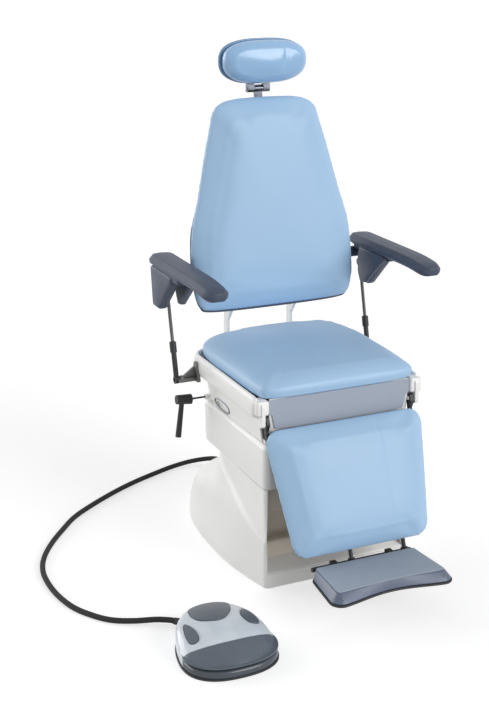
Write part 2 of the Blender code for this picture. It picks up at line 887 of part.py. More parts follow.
def build_seat(lift):
    seat = frame("seat_swivel", (0, 0, 0), lift)
    bearing_top = RAM_TOP + FLANGE_THICKNESS + TOUCH + BEARING_HEIGHT
    disc_bottom = bearing_top + TOUCH
    pan_bottom = LIP_BOTTOM + WALL + TOUCH
    pan_top = pan_bottom + PAN_THICKNESS
    turned(
        "turntable",
        (
            (0.0, pan_bottom - TOUCH),
            (HUB_RADIUS, pan_bottom - TOUCH),
            (HUB_RADIUS, disc_bottom + TURNTABLE_THICKNESS),
            (TURNTABLE_RADIUS, disc_bottom + TURNTABLE_THICKNESS),
            (TURNTABLE_RADIUS, disc_bottom),
            (0.0, disc_bottom),
        ),
        "steel",
        seat,
    )

    hub_hole = rod(
        "hub_hole",
        HUB_RADIUS + HUB_CLEAR,
        (0, 0, UPPER_TOP - PAST_WALL),
        (0, 0, UPPER_TOP + PAST_WALL),
        None,
        seat,
        sides=ROUND_STEPS,
    )
    upper_mid = UPPER_TOP - UPPER_SHOULDER
    outer = (
        (UPPER_BOTTOM, UPPER_HALF, UPPER_REAR - UPPER_SLOPE),
        (upper_mid, UPPER_HALF, UPPER_REAR),
        (UPPER_TOP - UPPER_ROUND, UPPER_HALF - UPPER_ROUND * 0.2, UPPER_REAR - UPPER_ROUND * 0.15),
        (UPPER_TOP - UPPER_ROUND * 0.3, UPPER_HALF - UPPER_ROUND * 0.5, UPPER_REAR - UPPER_ROUND * 0.45),
        (UPPER_TOP, UPPER_HALF - UPPER_ROUND, UPPER_REAR - UPPER_ROUND),
    )
    inner = (
        (UPPER_BOTTOM - PAST_WALL, UPPER_HALF - WALL, UPPER_REAR - UPPER_SLOPE - WALL),
        (upper_mid, UPPER_HALF - WALL, UPPER_REAR - WALL),
        (
            UPPER_TOP - UPPER_ROUND,
            UPPER_HALF - WALL - UPPER_ROUND * 0.2,
            UPPER_REAR - WALL - UPPER_ROUND * 0.15,
        ),
        (UPPER_TOP - WALL, UPPER_HALF - UPPER_ROUND, UPPER_REAR - UPPER_ROUND),
    )
    cover = loft("upper_cover", rounded_box_rings(outer, UPPER_FRONT, TUB_CORNER), "white_cover", seat)
    hollow = loft(
        "upper_hollow",
        rounded_box_rings(inner, UPPER_FRONT + WALL, TUB_CORNER - WALL),
        None,
        seat,
    )
    cut(cover, hollow, hub_hole)

    foot = UPPER_TOP + TOUCH
    outer = (
        (foot, TUB_FOOT_HALF, TUB_REAR - TUB_FOOT_SETBACK),
        (TUB_WAIST, TUB_WAIST_HALF, TUB_REAR - TUB_WAIST_SETBACK),
        (LIP_BOTTOM, LIP_HALF - LIP_ROUND * 0.5, TUB_REAR),
        (LIP_BOTTOM + LIP_ROUND, LIP_HALF, TUB_REAR),
        (LIP_TOP - LIP_ROUND, LIP_HALF, TUB_REAR),
        (LIP_TOP, LIP_HALF - LIP_ROUND * 0.33, TUB_REAR - LIP_ROUND * 0.33),
    )
    inner = (
        (foot + WALL, TUB_FOOT_HALF - WALL, TUB_REAR - TUB_FOOT_SETBACK - WALL),
        (TUB_WAIST + WALL, TUB_WAIST_HALF - WALL, TUB_REAR - TUB_WAIST_SETBACK - WALL),
        (LIP_BOTTOM + WALL, TUB_WAIST_HALF - WALL, TUB_REAR - TUB_WAIST_SETBACK - WALL),
        (LIP_BOTTOM + WALL + 1e-4, LIP_HALF - WALL, TUB_REAR - WALL),
        (LIP_TOP + PAST_WALL, LIP_HALF - WALL, TUB_REAR - WALL),
    )
    tub = loft("seat_tub", rounded_box_rings(outer, TUB_FRONT, TUB_CORNER), "white_cover", seat)
    hollow = loft(
        "tub_hollow", rounded_box_rings(inner, TUB_FRONT + WALL, TUB_CORNER - WALL), None, seat
    )
    spine_gap = SPINE_X + SPINE_THICKNESS + SPINE_ROOM
    gap = block(
        "spine_gap",
        (-spine_gap, HINGE_Y - HINGE_RADIUS * 1.7, UPPER_TOP + WALL * 2),
        (spine_gap, TUB_REAR + PAST_WALL, LIP_TOP + PAST_WALL),
        None,
        seat,
    )
    past_lip = LIP_HALF + PAST_WALL
    notches = [
        block(
            f"leg_notch_{side}",
            (min(side * NOTCH_X, side * past_lip), TUB_FRONT - PAST_WALL, UPPER_TOP - PAST_WALL),
            (max(side * NOTCH_X, side * past_lip), TUB_FRONT + NOTCH_DEPTH, LIP_TOP + PAST_WALL),
            None,
            seat,
        )
        for side in (LEFT, RIGHT)
    ]
    slot = block(
        "lock_slot",
        (-past_lip, LOCK_SLOT_FRONT, LEVER_Z - LOCK_SLOT_HEIGHT * 0.4),
        (-TUB_FOOT_HALF + PAST_WALL, LOCK_SLOT_REAR, LEVER_Z + LOCK_SLOT_HEIGHT * 0.6),
        None,
        seat,
    )
    bevel(slot, LOCK_SLOT_HEIGHT * 0.47, 3)
    cut(tub, hollow, gap, *notches, slot, hub_hole)

    build_pan(seat, pan_bottom, pan_top)
    build_seat_cushion(seat)
    build_seat_brackets(seat)
    return seat


def build_pan(seat, pan_bottom, pan_top):
    """The steel pan with front rests and the lugs of the recline hinge."""
    half = LIP_HALF - WALL - SINK
    board_bottom = SEAT_BOTTOM - TOUCH - BOARD_THICKNESS
    rest_top = board_bottom - TOUCH
    pan = block(
        "seat_pan",
        (-half, TUB_FRONT + NOTCH_DEPTH + WALL, pan_bottom),
        (half, HINGE_Y - HINGE_RADIUS * 2.2, pan_top),
        "dark_steel",
        seat,
    )
    for side in (LEFT, RIGHT):
        lug = side_plate(
            f"hinge_lug_{side}",
            (
                (HINGE_Y - LUG_FOOT, pan_top - SINK),
                (HINGE_Y + HINGE_RADIUS, HINGE_Z - HINGE_RADIUS - LUG_LAND),
                (HINGE_Y + HINGE_RADIUS + LUG_LAND, HINGE_Z),
                (HINGE_Y + HINGE_RADIUS + LUG_LAND * 0.4, rest_top),
                (HINGE_Y - LUG_FOOT, rest_top),
            ),
            side * LUG_X - LUG_THICKNESS / 2,
            side * LUG_X + LUG_THICKNESS / 2,
            None,
            seat,
        )
        front_rest = block(
            f"front_rest_{side}",
            (side * LUG_X - REST_HALF, TUB_FRONT + REST_SETBACK, pan_top - SINK),
            (side * LUG_X + REST_HALF, TUB_FRONT + REST_SETBACK + REST_HALF, rest_top),
            None,
            seat,
        )
        join(pan, lug, front_rest)
    bore = across(
        "hinge_bore", HINGE_RADIUS + RUNNING, -HINGE_HALF, HINGE_HALF, HINGE_Y, HINGE_Z, None, seat
    )
    cut(pan, bore)
    block(
        "seat_board",
        (BOARD_INSET - SEAT_HALF, SEAT_FRONT + BOARD_INSET * 1.25, board_bottom),
        (SEAT_HALF - BOARD_INSET, TUB_REAR - BOARD_INSET * 1.1, SEAT_BOTTOM - TOUCH),
        "plywood",
        seat,
    )


def build_seat_cushion(seat):
    depth = SEAT_REAR - SEAT_FRONT
    half = (
        (0.0, SEAT_FRONT),
        (SEAT_FRONT_HALF * 0.55, SEAT_FRONT + 0.002),
        (SEAT_FRONT_HALF * 0.88, SEAT_FRONT + 0.012),
        (SEAT_FRONT_HALF, SEAT_FRONT + depth * 0.10),
        (SEAT_HALF, SEAT_FRONT + depth * 0.42),
        (SEAT_HALF, SEAT_FRONT + depth * 0.72),
        (SEAT_HALF * 0.90, SEAT_REAR - depth * 0.095),
        (SEAT_HALF * 0.62, SEAT_REAR - 0.010),
        (0.0, SEAT_REAR),
    )
    outline = catmull(mirrored(half), 4)
    cushion(
        "seat_pad",
        outline,
        lifted(flat_up, SEAT_BOTTOM),
        SEAT_SIDE_HEIGHT,
        SEAT_CROWN,
        "upholstery",
        seat,
        draw=0.012,
        roll=0.026,
    )


def build_seat_brackets(seat):
    apron = (
        (APRON_WIDE_HALF, APRON_TOP),
        (-APRON_WIDE_HALF, APRON_TOP),
        (-APRON_WIDE_HALF, APRON_STEP),
        (-APRON_HALF, APRON_STEP),
        (-APRON_HALF, APRON_BOTTOM),
        (APRON_HALF, APRON_BOTTOM),
        (APRON_HALF, APRON_STEP),
        (APRON_WIDE_HALF, APRON_STEP),
    )
    apron_back = TUB_FRONT - TOUCH
    rings = [
        [Vector((x, y, z)) for x, z in apron]
        for y in (apron_back, apron_back - APRON_THICKNESS)
    ]
    loft("front_apron", rings, "apron", seat)
    for side, word in ((LEFT, "left"), (RIGHT, "right")):
        back = TUB_FRONT + NOTCH_DEPTH - TOUCH
        bracket = side_plate(
            f"leg_bracket_{word}",
            rounded(
                (
                    (back, LIP_TOP - LIP_ROUND),
                    (LEG_Y - BRACKET_RADIUS, LIP_TOP - LIP_ROUND),
                    (LEG_Y - BRACKET_RADIUS, LEG_Z - BRACKET_RADIUS),
                    (LEG_Y + BRACKET_RADIUS, LEG_Z - BRACKET_RADIUS),
                    (back, LIP_BOTTOM + WALL),
                ),
                BRACKET_RADIUS * 0.6,
            ),
            side * (BRACKET_X - BRACKET_THICKNESS / 2),
            side * (BRACKET_X + BRACKET_THICKNESS / 2),
            "white_metal",
            seat,
        )
        pin = across(
            f"leg_pin_{word}",
            LEG_PIN_RADIUS,
            side * (EAR_X - EAR_THICKNESS / 2 - PIN_STANDOUT),
            side * BRACKET_X,
            LEG_Y,
            LEG_Z,
            None,
            seat,
        )
        join(bracket, pin)

        inner = LIP_HALF + TOUCH
        outer = inner + LINK_FOOT_THICKNESS
        foot_low = LIP_BOTTOM + LIP_ROUND
        foot_high = LIP_TOP - LIP_ROUND * 2
        arm_low = foot_low + LINK_FOOT_THICKNESS / 2
        arm_high = arm_low + LINK_FOOT_THICKNESS * 2
        foot = block(
            f"link_bracket_{word}",
            (min(side * inner, side * outer), LINK_FOOT_Y - LINK_FOOT_REACH, foot_low),
            (max(side * inner, side * outer), LINK_FOOT_Y + LINK_FOOT_REACH / 2, foot_high),
            "black_metal",
            seat,
        )
        arm = side_plate(
            f"link_arm_{word}",
            (
                (LINK_FOOT_Y - LINK_FOOT_REACH, arm_low),
                (LINK_FOOT_Y - LINK_EYE_RADIUS, LINK_FOOT_Z - LINK_EYE_RADIUS * 0.8),
                (LINK_FOOT_Y + LINK_EYE_RADIUS * 0.8, LINK_FOOT_Z - LINK_EYE_RADIUS * 0.8),
                (LINK_FOOT_Y + LINK_EYE_RADIUS, arm_low),
                (LINK_FOOT_Y + LINK_EYE_RADIUS, arm_high),
                (LINK_FOOT_Y - LINK_FOOT_REACH, arm_high),
            ),
            side * (inner + LINK_FOOT_THICKNESS / 2),
            side * (LINK_X - LINK_EYE_WIDTH / 2 - LINK_SIDE_GAP),
            None,
            seat,
        )
        stub = across(
            f"link_stub_{word}",
            LINK_PIN_RADIUS,
            side * (inner + LINK_FOOT_THICKNESS / 2),
            side * (LINK_X + LINK_EYE_WIDTH / 2 + PIN_STANDOUT),
            LINK_FOOT_Y,
            LINK_FOOT_Z,
            None,
            seat,
        )
        join(foot, arm, stub)


def tub_side(y, z):
    """Half width of the tub's lower wall at a place along it."""
    share = (z - UPPER_TOP) / (TUB_WAIST - UPPER_TOP)
    half = TUB_FOOT_HALF + (TUB_WAIST_HALF - TUB_FOOT_HALF) * share
    rear = TUB_REAR - TUB_FOOT_SETBACK + (TUB_FOOT_SETBACK - TUB_WAIST_SETBACK) * share
    return half * (1 - (y / rear) ** TUB_FULLNESS) ** (1 / TUB_FULLNESS)


def build_lever(seat):
    """The black clamping lever that locks the swivel, on a boss of the tub's left wall."""
    front_edge = LEVER_Y - LEVER_BOSS_RADIUS
    widest = max(
        tub_side(front_edge, LEVER_Z - LEVER_BOSS_RADIUS),
        tub_side(front_edge, LEVER_Z + LEVER_BOSS_RADIUS),
    )
    boss_start = LEVER_BOSS_SINK - widest
    boss_end = boss_start - LEVER_BOSS_LENGTH
    across("lever_boss", LEVER_BOSS_RADIUS, boss_start, boss_end, LEVER_Y, LEVER_Z, "white_cover", seat)
    lever = frame("lock_lever_axis", (0, LEVER_Y, LEVER_Z), seat)
    stud_start = boss_end - TOUCH
    head_start = stud_start - LEVER_STUD_LENGTH
    head_end = head_start - LEVER_HEAD_LENGTH
    head = rod(
        "lock_lever",
        LEVER_HEAD_RADIUS,
        (head_start, 0, 0),
        (head_end, 0, 0.004),
        "dark_plastic",
        lever,
        end_radius=LEVER_HEAD_RADIUS * 0.9,
    )
    grip_top = head_end + LEVER_HEAD_LENGTH * 0.38
    grip = rod(
        "lever_grip",
        LEVER_GRIP_RADIUS,
        (grip_top, 0, 0),
        (grip_top - LEVER_GRIP_LENGTH * 0.12, 0, -LEVER_GRIP_LENGTH),
        None,
        lever,
        end_radius=LEVER_GRIP_RADIUS * 1.25,
    )
    stud = across("lever_stud", LEVER_STUD_RADIUS, stud_start, head_start - SINK, 0, 0, None, lever, 12)
    join(head, grip, stud)


# Backrest


def back_outline(grow=0.0):
    half = (
        (0.0, BACK_HEIGHT),
        (BACK_TOP_HALF * 0.60, BACK_HEIGHT - 0.006),
        (BACK_TOP_HALF * 0.90, BACK_HEIGHT - 0.026),
        (BACK_TOP_HALF * 1.05, BACK_HEIGHT * 0.865),
        (BACK_TOP_HALF * 1.25, BACK_HEIGHT * 0.735),
        (BACK_WIDE_HALF * 0.87, BACK_HEIGHT * 0.555),
        (BACK_WIDE_HALF * 0.97, BACK_HEIGHT * 0.395),
        (BACK_WIDE_HALF, BACK_WIDE_AT),
        (BACK_WIDE_HALF * 0.985, BACK_WIDE_AT * 0.45),
        (BACK_WIDE_HALF * 0.925, BACK_WIDE_AT * 0.10),
        (BACK_FOOT_HALF * 0.90, -0.004),
        (0.0, -0.008),
    )
    outline = catmull(mirrored(half), 3)
    return inset(outline, -grow)


def build_back(seat):
    back = frame("recline_axis", (0, HINGE_Y, HINGE_Z), seat)
    across("recline_tube", HINGE_RADIUS, -HINGE_HALF, HINGE_HALF, 0, 0, "steel", back)
    panel = frame("back_panel", (0, BACK_Y - HINGE_Y, BACK_Z - HINGE_Z), back, -BACK_LEAN)
    pad_back = BACK_PLANE_DEPTH
    shell_back = pad_back + TOUCH + BACK_SHELL_THICKNESS
    cushion(
        "back_pad",
        back_outline(),
        lifted(facing_front, -pad_back),
        BACK_PAD_THICKNESS,
        BACK_CROWN,
        "upholstery",
        panel,
        draw=0.008,
        roll=0.024,
    )
    outline = back_outline(BACK_SHELL_EDGE)
    thick = BACK_SHELL_THICKNESS
    shell_steps = (
        (0.0, -pad_back - TOUCH),
        (0.0, -pad_back - TOUCH - thick * 0.25),
        (0.010, -pad_back - TOUCH - thick * 0.75),
        (0.026, -pad_back - TOUCH - thick),
    )
    rings = [[facing_front(u, v, h) for u, v in inset(outline, d)] for d, h in shell_steps]
    loft("back_shell", rings, "slate_plastic", panel)

    build_spines(back, shell_back)
    axle_half = LINK_X + LINK_EYE_WIDTH / 2 + PIN_STANDOUT
    across(
        "arm_axle",
        AXLE_RADIUS,
        -axle_half,
        axle_half,
        ARM_PIVOT_Y - HINGE_Y,
        ARM_PIVOT_Z - HINGE_Z,
        "steel",
        back,
    )
    build_headrest(panel, shell_back)
    return back


def build_spines(back, shell_back):
    """Two bent plates from the recline tube up the rear of the shell, bored for the arm axle."""
    c = math.cos(BACK_LEAN)
    s = math.sin(BACK_LEAN)

    def behind(up, depth):
        y = BACK_Y - HINGE_Y + up * s + depth * c
        z = BACK_Z - HINGE_Z + up * c - depth * s
        return (y, z)

    front = shell_back + TOUCH
    rear = front + SPINE_DEPTH
    heel = SPINE_WIDTH / 2
    elbow = SEAT_REAR - HINGE_Y + SPINE_CLEAR
    outline = (
        (-heel, -heel),
        (elbow + SPINE_WIDTH * 0.3, -heel),
        (elbow + SPINE_WIDTH, heel),
        (elbow + SPINE_WIDTH, 0.110),
        behind(0.090, rear),
        behind(BACK_HEIGHT * 0.74, rear),
        behind(BACK_HEIGHT * 0.78, front + 0.006),
        behind(BACK_HEIGHT * 0.78, front),
        behind(0.050, front),
        (elbow, 0.100),
        (elbow, heel + 0.012),
        (elbow - 0.012, heel),
        (-heel, heel),
    )
    pivot_y = ARM_PIVOT_Y - HINGE_Y
    pivot_z = ARM_PIVOT_Z - HINGE_Z
    for side, word in ((LEFT, "left"), (RIGHT, "right")):
        x0 = side * SPINE_X - SPINE_THICKNESS / 2
        x1 = side * SPINE_X + SPINE_THICKNESS / 2
        spine = side_plate(f"back_spine_{word}", outline, x0, x1, "white_metal", back)
        hub = across(f"axle_hub_{word}", AXLE_RADIUS * 1.8, x0, x1, pivot_y, pivot_z, None, back)
        axle_bore = across(
            f"axle_bore_{word}", AXLE_RADIUS + TOUCH, x0 - SINK, x1 + SINK, pivot_y, pivot_z, None, back
        )
        tube_bore = across(
            f"tube_bore_{word}", HINGE_RADIUS + TOUCH, x0 - SINK, x1 + SINK, 0, 0, None, back
        )
        join(spine, hub)
        cut(spine, axle_bore, tube_bore)


# Headrest


def build_headrest(panel, shell_back):
    """Guide on the shell, a sliding stem, and a head pad that tilts on the stem's barrel."""
    stem_front = shell_back + TOUCH + GUIDE_WALL + RUNNING
    stem_rear = stem_front + STEM_THICKNESS
    guide_top = BACK_HEIGHT - GUIDE_DROP
    guide = block(
        "head_guide",
        (-STEM_HALF - GUIDE_WALL, shell_back + TOUCH, guide_top - GUIDE_LENGTH),
        (STEM_HALF + GUIDE_WALL, stem_rear + RUNNING + GUIDE_WALL, guide_top),
        "dark_plastic",
        panel,
    )
    channel = block(
        "stem_channel",
        (-STEM_HALF - RUNNING, stem_front - RUNNING, guide_top - GUIDE_LENGTH - PAST_WALL),
        (STEM_HALF + RUNNING, stem_rear + RUNNING, guide_top + PAST_WALL),
        None,
        panel,
    )
    cut(guide, channel)

    slide = frame("head_slide", (0, 0, 0), panel)
    pivot_up = BACK_HEIGHT + HEAD_PIVOT_ABOVE_BACK
    pivot_back = (stem_front + stem_rear) / 2
    stem = block(
        "head_stem",
        (-STEM_HALF, stem_front, pivot_up - STEM_LENGTH),
        (STEM_HALF, stem_rear, pivot_up - BARREL_RADIUS * 0.5),
        "chrome",
        slide,
    )
    barrel = across(
        "stem_barrel", BARREL_RADIUS, -BARREL_HALF, BARREL_HALF, pivot_back, pivot_up, None, slide
    )
    pin_bore = across(
        "stem_bore", HEAD_PIN_RADIUS + RUNNING, -PAST_WALL, PAST_WALL, pivot_back, pivot_up, None, slide
    )
    join(stem, barrel)
    cut(stem, pin_bore)

    head = frame("head_tilt_axis", (0, pivot_back, pivot_up), slide, BACK_LEAN)
    pad_low = BARREL_RADIUS + HEAD_GAP
    pad_back = -HEAD_FORWARD
    shell_back_y = pad_back + TOUCH + HEAD_SHELL_THICKNESS
    outline = [
        Vector((u, v + pad_low + HEAD_HEIGHT / 2))
        for u, v in superellipse(HEAD_HALF, HEAD_HEIGHT / 2, 2.7, 44)
    ]
    cushion(
        "head_pad",
        outline,
        lifted(facing_front, -pad_back),
        HEAD_PAD_THICKNESS,
        HEAD_CROWN,
        "gloss_upholstery",
        head,
        draw=0.012,
        roll=0.026,
    )
    steps = (
        (0.016, -pad_back - TOUCH),
        (0.018, -pad_back - TOUCH - HEAD_SHELL_THICKNESS * 0.55),
        (0.030, -pad_back - TOUCH - HEAD_SHELL_THICKNESS),
    )
    rings = [[facing_front(u, v, h) for u, v in inset(outline, d)] for d, h in steps]
    loft("head_shell", rings, "dark_plastic", head)

    mount_top = pad_low + HEAD_HEIGHT * 0.62
    lug_back = shell_back_y + TOUCH + HEAD_PLATE_THICKNESS
    bracket = block(
        "head_bracket",
        (-LUG_HALF_SPAN, shell_back_y + TOUCH, pad_low + 0.022),
        (LUG_HALF_SPAN, lug_back, mount_top),
        "chrome",
        head,
    )
    for side, word in ((LEFT, "left"), (RIGHT, "right")):
        lug = side_plate(
            f"head_lug_{word}",
            (
                (-BARREL_RADIUS, -BARREL_RADIUS * 0.4),
                (-BARREL_RADIUS * 0.5, -BARREL_RADIUS),
                (BARREL_RADIUS * 0.5, -BARREL_RADIUS),
                (BARREL_RADIUS, -BARREL_RADIUS * 0.4),
                (lug_back, pad_low + 0.030),
                (shell_back_y + 0.002, pad_low + 0.030),
                (shell_back_y + 0.002, pad_low + 0.010),
                (-BARREL_RADIUS, BARREL_RADIUS * 0.5),
            ),
            side * (BARREL_HALF + RUNNING * 2),
            side * LUG_HALF_SPAN,
            None,
            head,
        )
        join(bracket, lug)
    bore = across("lug_bore", HEAD_PIN_RADIUS + TOUCH, -PAST_WALL, PAST_WALL, 0, 0, None, head)
    cut(bracket, bore)
    across(
        "head_pin",
        HEAD_PIN_RADIUS,
        -LUG_HALF_SPAN - PIN_STANDOUT,
        LUG_HALF_SPAN + PIN_STANDOUT,
        0,
        0,
        "steel",
        head,
        sides=16,
    )


# Armrests and their levelling links


def build_arm(back, side, word):
    """The levelled armrest: pad, carrier with a gusset, pivot boss and link pin."""
    arm = frame(f"arm_axis_{word}", (0, ARM_PIVOT_Y - HINGE_Y, ARM_PIVOT_Z - HINGE_Z), back)
    length = ARM_REAR - ARM_FRONT
    middle = (ARM_REAR + ARM_FRONT) / 2 - ARM_PIVOT_Y
    outline = [
        Vector((side * ARM_X + u * (1 + 0.10 * v / length), middle + v))
        for u, v in superellipse(ARM_HALF, length / 2, 3.6, 40)
    ]
    cushion(
        f"arm_pad_{word}",
        outline,
        lifted(flat_up, ARM_BOTTOM - ARM_PIVOT_Z),
        ARM_SIDE_HEIGHT,
        ARM_CROWN,
        "slate_plastic",
        arm,
        draw=0.006,
        roll=0.012,
    )
    plate_top = ARM_BOTTOM - TOUCH - ARM_PIVOT_Z
    plate_bottom = plate_top - ARM_PLATE_THICKNESS
    carrier = block(
        f"arm_carrier_{word}",
        (side * ARM_X - ARM_PLATE_HALF, ARM_PLATE_FRONT - ARM_PIVOT_Y, plate_bottom),
        (side * ARM_X + ARM_PLATE_HALF, ARM_REAR - ARM_PIVOT_Y - ARM_PLATE_INSET, plate_top),
        "slate_plastic",
        arm,
    )
    cheek_inner = LINK_X + LINK_EYE_WIDTH / 2 + CHEEK_GAP
    link_y = LINK_FOOT_Y + LINK_RUN - ARM_PIVOT_Y
    link_z = LINK_FOOT_Z + LINK_RISE - ARM_PIVOT_Z
    cheek_low = CHEEK_BOTTOM - ARM_PIVOT_Z
    cheek = side_plate(
        f"arm_cheek_{word}",
        rounded(
            (
                (ARM_REAR - ARM_PIVOT_Y - CHEEK_REAR_INSET, plate_top - SINK / 3),
                (link_y - CHEEK_REACH, plate_top - SINK / 3),
                (link_y - CHEEK_FOOT_FRONT, cheek_low),
                (link_y + CHEEK_FOOT_REAR, cheek_low),
            ),
            CHEEK_ROUND,
            3,
        ),
        side * cheek_inner,
        side * (cheek_inner + CHEEK_THICKNESS),
        None,
        arm,
    )
    bevel(cheek, CHEEK_ROUND * 0.57, 2)
    boss_outer = LINK_X + LINK_EYE_WIDTH / 2 + PIN_STANDOUT * 0.7
    boss = across(
        f"arm_boss_{word}", ARM_BOSS_RADIUS, side * (ARM_X - ARM_BOSS_REACH), side * boss_outer, 0, 0, None, arm
    )
    pin = across(
        f"arm_link_pin_{word}",
        LINK_PIN_RADIUS,
        side * (LINK_X - LINK_EYE_WIDTH / 2 - PIN_STANDOUT),
        side * (cheek_inner + PIN_STANDOUT),
        link_y,
        link_z,
        None,
        arm,
    )
    bore_start = side * (ARM_X - ARM_BOSS_REACH - PAST_WALL)
    bore_end = side * (boss_outer + PIN_STANDOUT)
    bore = across(f"arm_bore_{word}", AXLE_RADIUS + RUNNING, bore_start, bore_end, 0, 0, None, arm)
    join(carrier, cheek, boss, pin)
    cut(carrier, bore)


def build_link(seat, side, word):
    """The link from the seat bracket to the arm: a sleeve with a collar, and a rod."""
    link = frame(f"link_axis_{word}", (side * LINK_X, LINK_FOOT_Y, LINK_FOOT_Z), seat)
    along = Vector((0, LINK_RUN, LINK_RISE))
    length = along.length
    along.normalize()
    half = LINK_EYE_WIDTH / 2
    clear = LINK_PIN_RADIUS + RUNNING
    sleeve = rod(
        f"link_sleeve_{word}",
        LINK_TUBE_RADIUS,
        along * LINK_PIN_RADIUS * 1.4,
        along * LINK_TUBE_LENGTH,
        "black_metal",
        link,
    )
    collar = rod(
        f"link_collar_{word}",
        LINK_COLLAR_RADIUS,
        along * (LINK_TUBE_LENGTH - LINK_COLLAR_LENGTH),
        along * (LINK_TUBE_LENGTH - LINK_SIDE_GAP),
        None,
        link,
    )
    eye = across(f"link_eye_{word}", LINK_EYE_RADIUS, -half, half, 0, 0, None, link)
    foot_bore = across(f"link_bore_{word}", clear, -LINK_EYE_WIDTH, LINK_EYE_WIDTH, 0, 0, None, link)
    join(sleeve, collar, eye)
    cut(sleeve, foot_bore)

    rod_piece = rod(
        f"link_rod_{word}",
        LINK_ROD_RADIUS,
        along * (LINK_TUBE_LENGTH + TOUCH),
        along * (length - LINK_PIN_RADIUS * 1.4),
        "steel",
        link,
        sides=16,
    )
    top_y = LINK_RUN
    top_z = LINK_RISE
    top_eye = across(f"link_top_eye_{word}", LINK_EYE_RADIUS, -half, half, top_y, top_z, None, link)
    top_bore = across(f"link_top_bore_{word}", clear, -LINK_EYE_WIDTH, LINK_EYE_WIDTH, top_y, top_z, None, link)
    join(rod_piece, top_eye)
    cut(rod_piece, top_bore)


# Leg rest and footrest


def build_leg(seat):
    leg = frame("leg_axis", (0, LEG_Y, LEG_Z), seat, -LEG_LEAN)
    corners = (
        (LEG_TOP_HALF, -LEG_TOP),
        (-LEG_TOP_HALF, -LEG_TOP),
        (-LEG_BOTTOM_HALF, -LEG_BOTTOM),
        (LEG_BOTTOM_HALF, -LEG_BOTTOM),
    )
    outline = evened(rounded(corners, LEG_CORNER, 5), LEG_SPACING)
    cushion(
        "leg_pad",
        outline,
        lifted(facing_front, LEG_BACK),
        LEG_PAD_THICKNESS,
        LEG_CROWN,
        "upholstery",
        leg,
        draw=0.010,
        roll=0.026,
    )
    board = inset([Vector(point) for point in rounded(corners, LEG_CORNER, 5)], LEG_SHELL_INSET)
    shell_back = LEG_BACK - TOUCH - LEG_SHELL_THICKNESS
    rings = [
        [facing_front(u, v, h) for u, v in inset(board, d)]
        for d, h in ((0.0, LEG_BACK - TOUCH), (0.0, shell_back + SINK), (WALL, shell_back))
    ]
    loft("leg_shell", rings, "dark_plastic", leg)

    depth = -shell_back + TOUCH + LEG_TUBE_RADIUS
    rail_bottom = LEG_BOTTOM - LEG_BAR_INSET
    for side, word in ((LEFT, "left"), (RIGHT, "right")):
        build_leg_rail(leg, side, word, depth, rail_bottom)
    bar_half = LEG_RAIL_HALF - LEG_TUBE_RADIUS - TOUCH
    across("leg_bar", LEG_TUBE_RADIUS, -bar_half, bar_half, depth, -rail_bottom, "black_metal", leg, 16)
    for x, word in ((POST_LEFT_X, "left"), (POST_RIGHT_X, "right")):
        post = rod(
            f"foot_post_{word}",
            POST_RADIUS,
            (x, depth, -rail_bottom - LEG_TUBE_RADIUS - TOUCH),
            (x, depth, -BAR_DOWN + BAR_RADIUS * 0.5),
            "black_metal",
            leg,
            sides=16,
        )
        half = POST_EYE_WIDTH / 2
        eye = across(f"post_eye_{word}", POST_EYE_RADIUS, x - half, x + half, depth, -BAR_DOWN, None, leg)
        bore = across(
            f"post_bore_{word}",
            BAR_RADIUS + RUNNING,
            x - POST_EYE_WIDTH,
            x + POST_EYE_WIDTH,
            depth,
            -BAR_DOWN,
            None,
            leg,
        )
        join(post, eye)
        cut(post, bore)
    build_footrest(leg, depth)
    return leg


def build_leg_rail(leg, side, word, depth, rail_bottom):
    """One rail of the leg rest: a hinge ear, and a tube that steps in behind the board."""
    path = (
        (side * EAR_X, -LEG_EAR_END),
        (side * LEG_RAIL_HALF, -LEG_EAR_END - LEG_STEP),
        (side * LEG_RAIL_HALF, -rail_bottom - LEG_TUBE_RADIUS),
    )
    rail = tube(
        f"leg_rail_{word}",
        [Vector((u, depth, v)) for u, v in path],
        LEG_TUBE_RADIUS,
        "black_metal",
        leg,
        resolution=3,
    )
    x0 = side * EAR_X - EAR_THICKNESS / 2
    x1 = side * EAR_X + EAR_THICKNESS / 2
    low = -LEG_EAR_END - LEG_TUBE_RADIUS
    web = LEG_TUBE_RADIUS * 0.9
    ear = side_plate(
        f"leg_ear_{word}",
        rounded(
            (
                (-EAR_RADIUS, EAR_RADIUS),
                (EAR_RADIUS, EAR_RADIUS),
                (depth + web, low),
                (depth - web, low),
                (depth - web, -EAR_RADIUS * 2.2),
                (-EAR_RADIUS, -EAR_RADIUS),
            ),
            EAR_RADIUS * 0.46,
            3,
        ),
        x0,
        x1,
        None,
        leg,
    )
    bore = across(
        f"ear_bore_{word}", LEG_PIN_RADIUS + RUNNING, x0 - SINK, x1 + SINK, 0, 0, None, leg
    )
    join(rail, ear)
    cut(rail, bore)


def foot_outline(shrink):
    front = -FOOT_DEPTH
    corners = (
        (FOOT_REAR_HALF, -POST_EYE_RADIUS - FOOT_GAP),
        (-FOOT_REAR_HALF, -POST_EYE_RADIUS - FOOT_GAP),
        (-FOOT_FRONT_HALF, front),
        (FOOT_FRONT_HALF, front),
    )
    return inset([Vector(point) for point in rounded(corners, FOOT_CORNER, 5)], shrink)


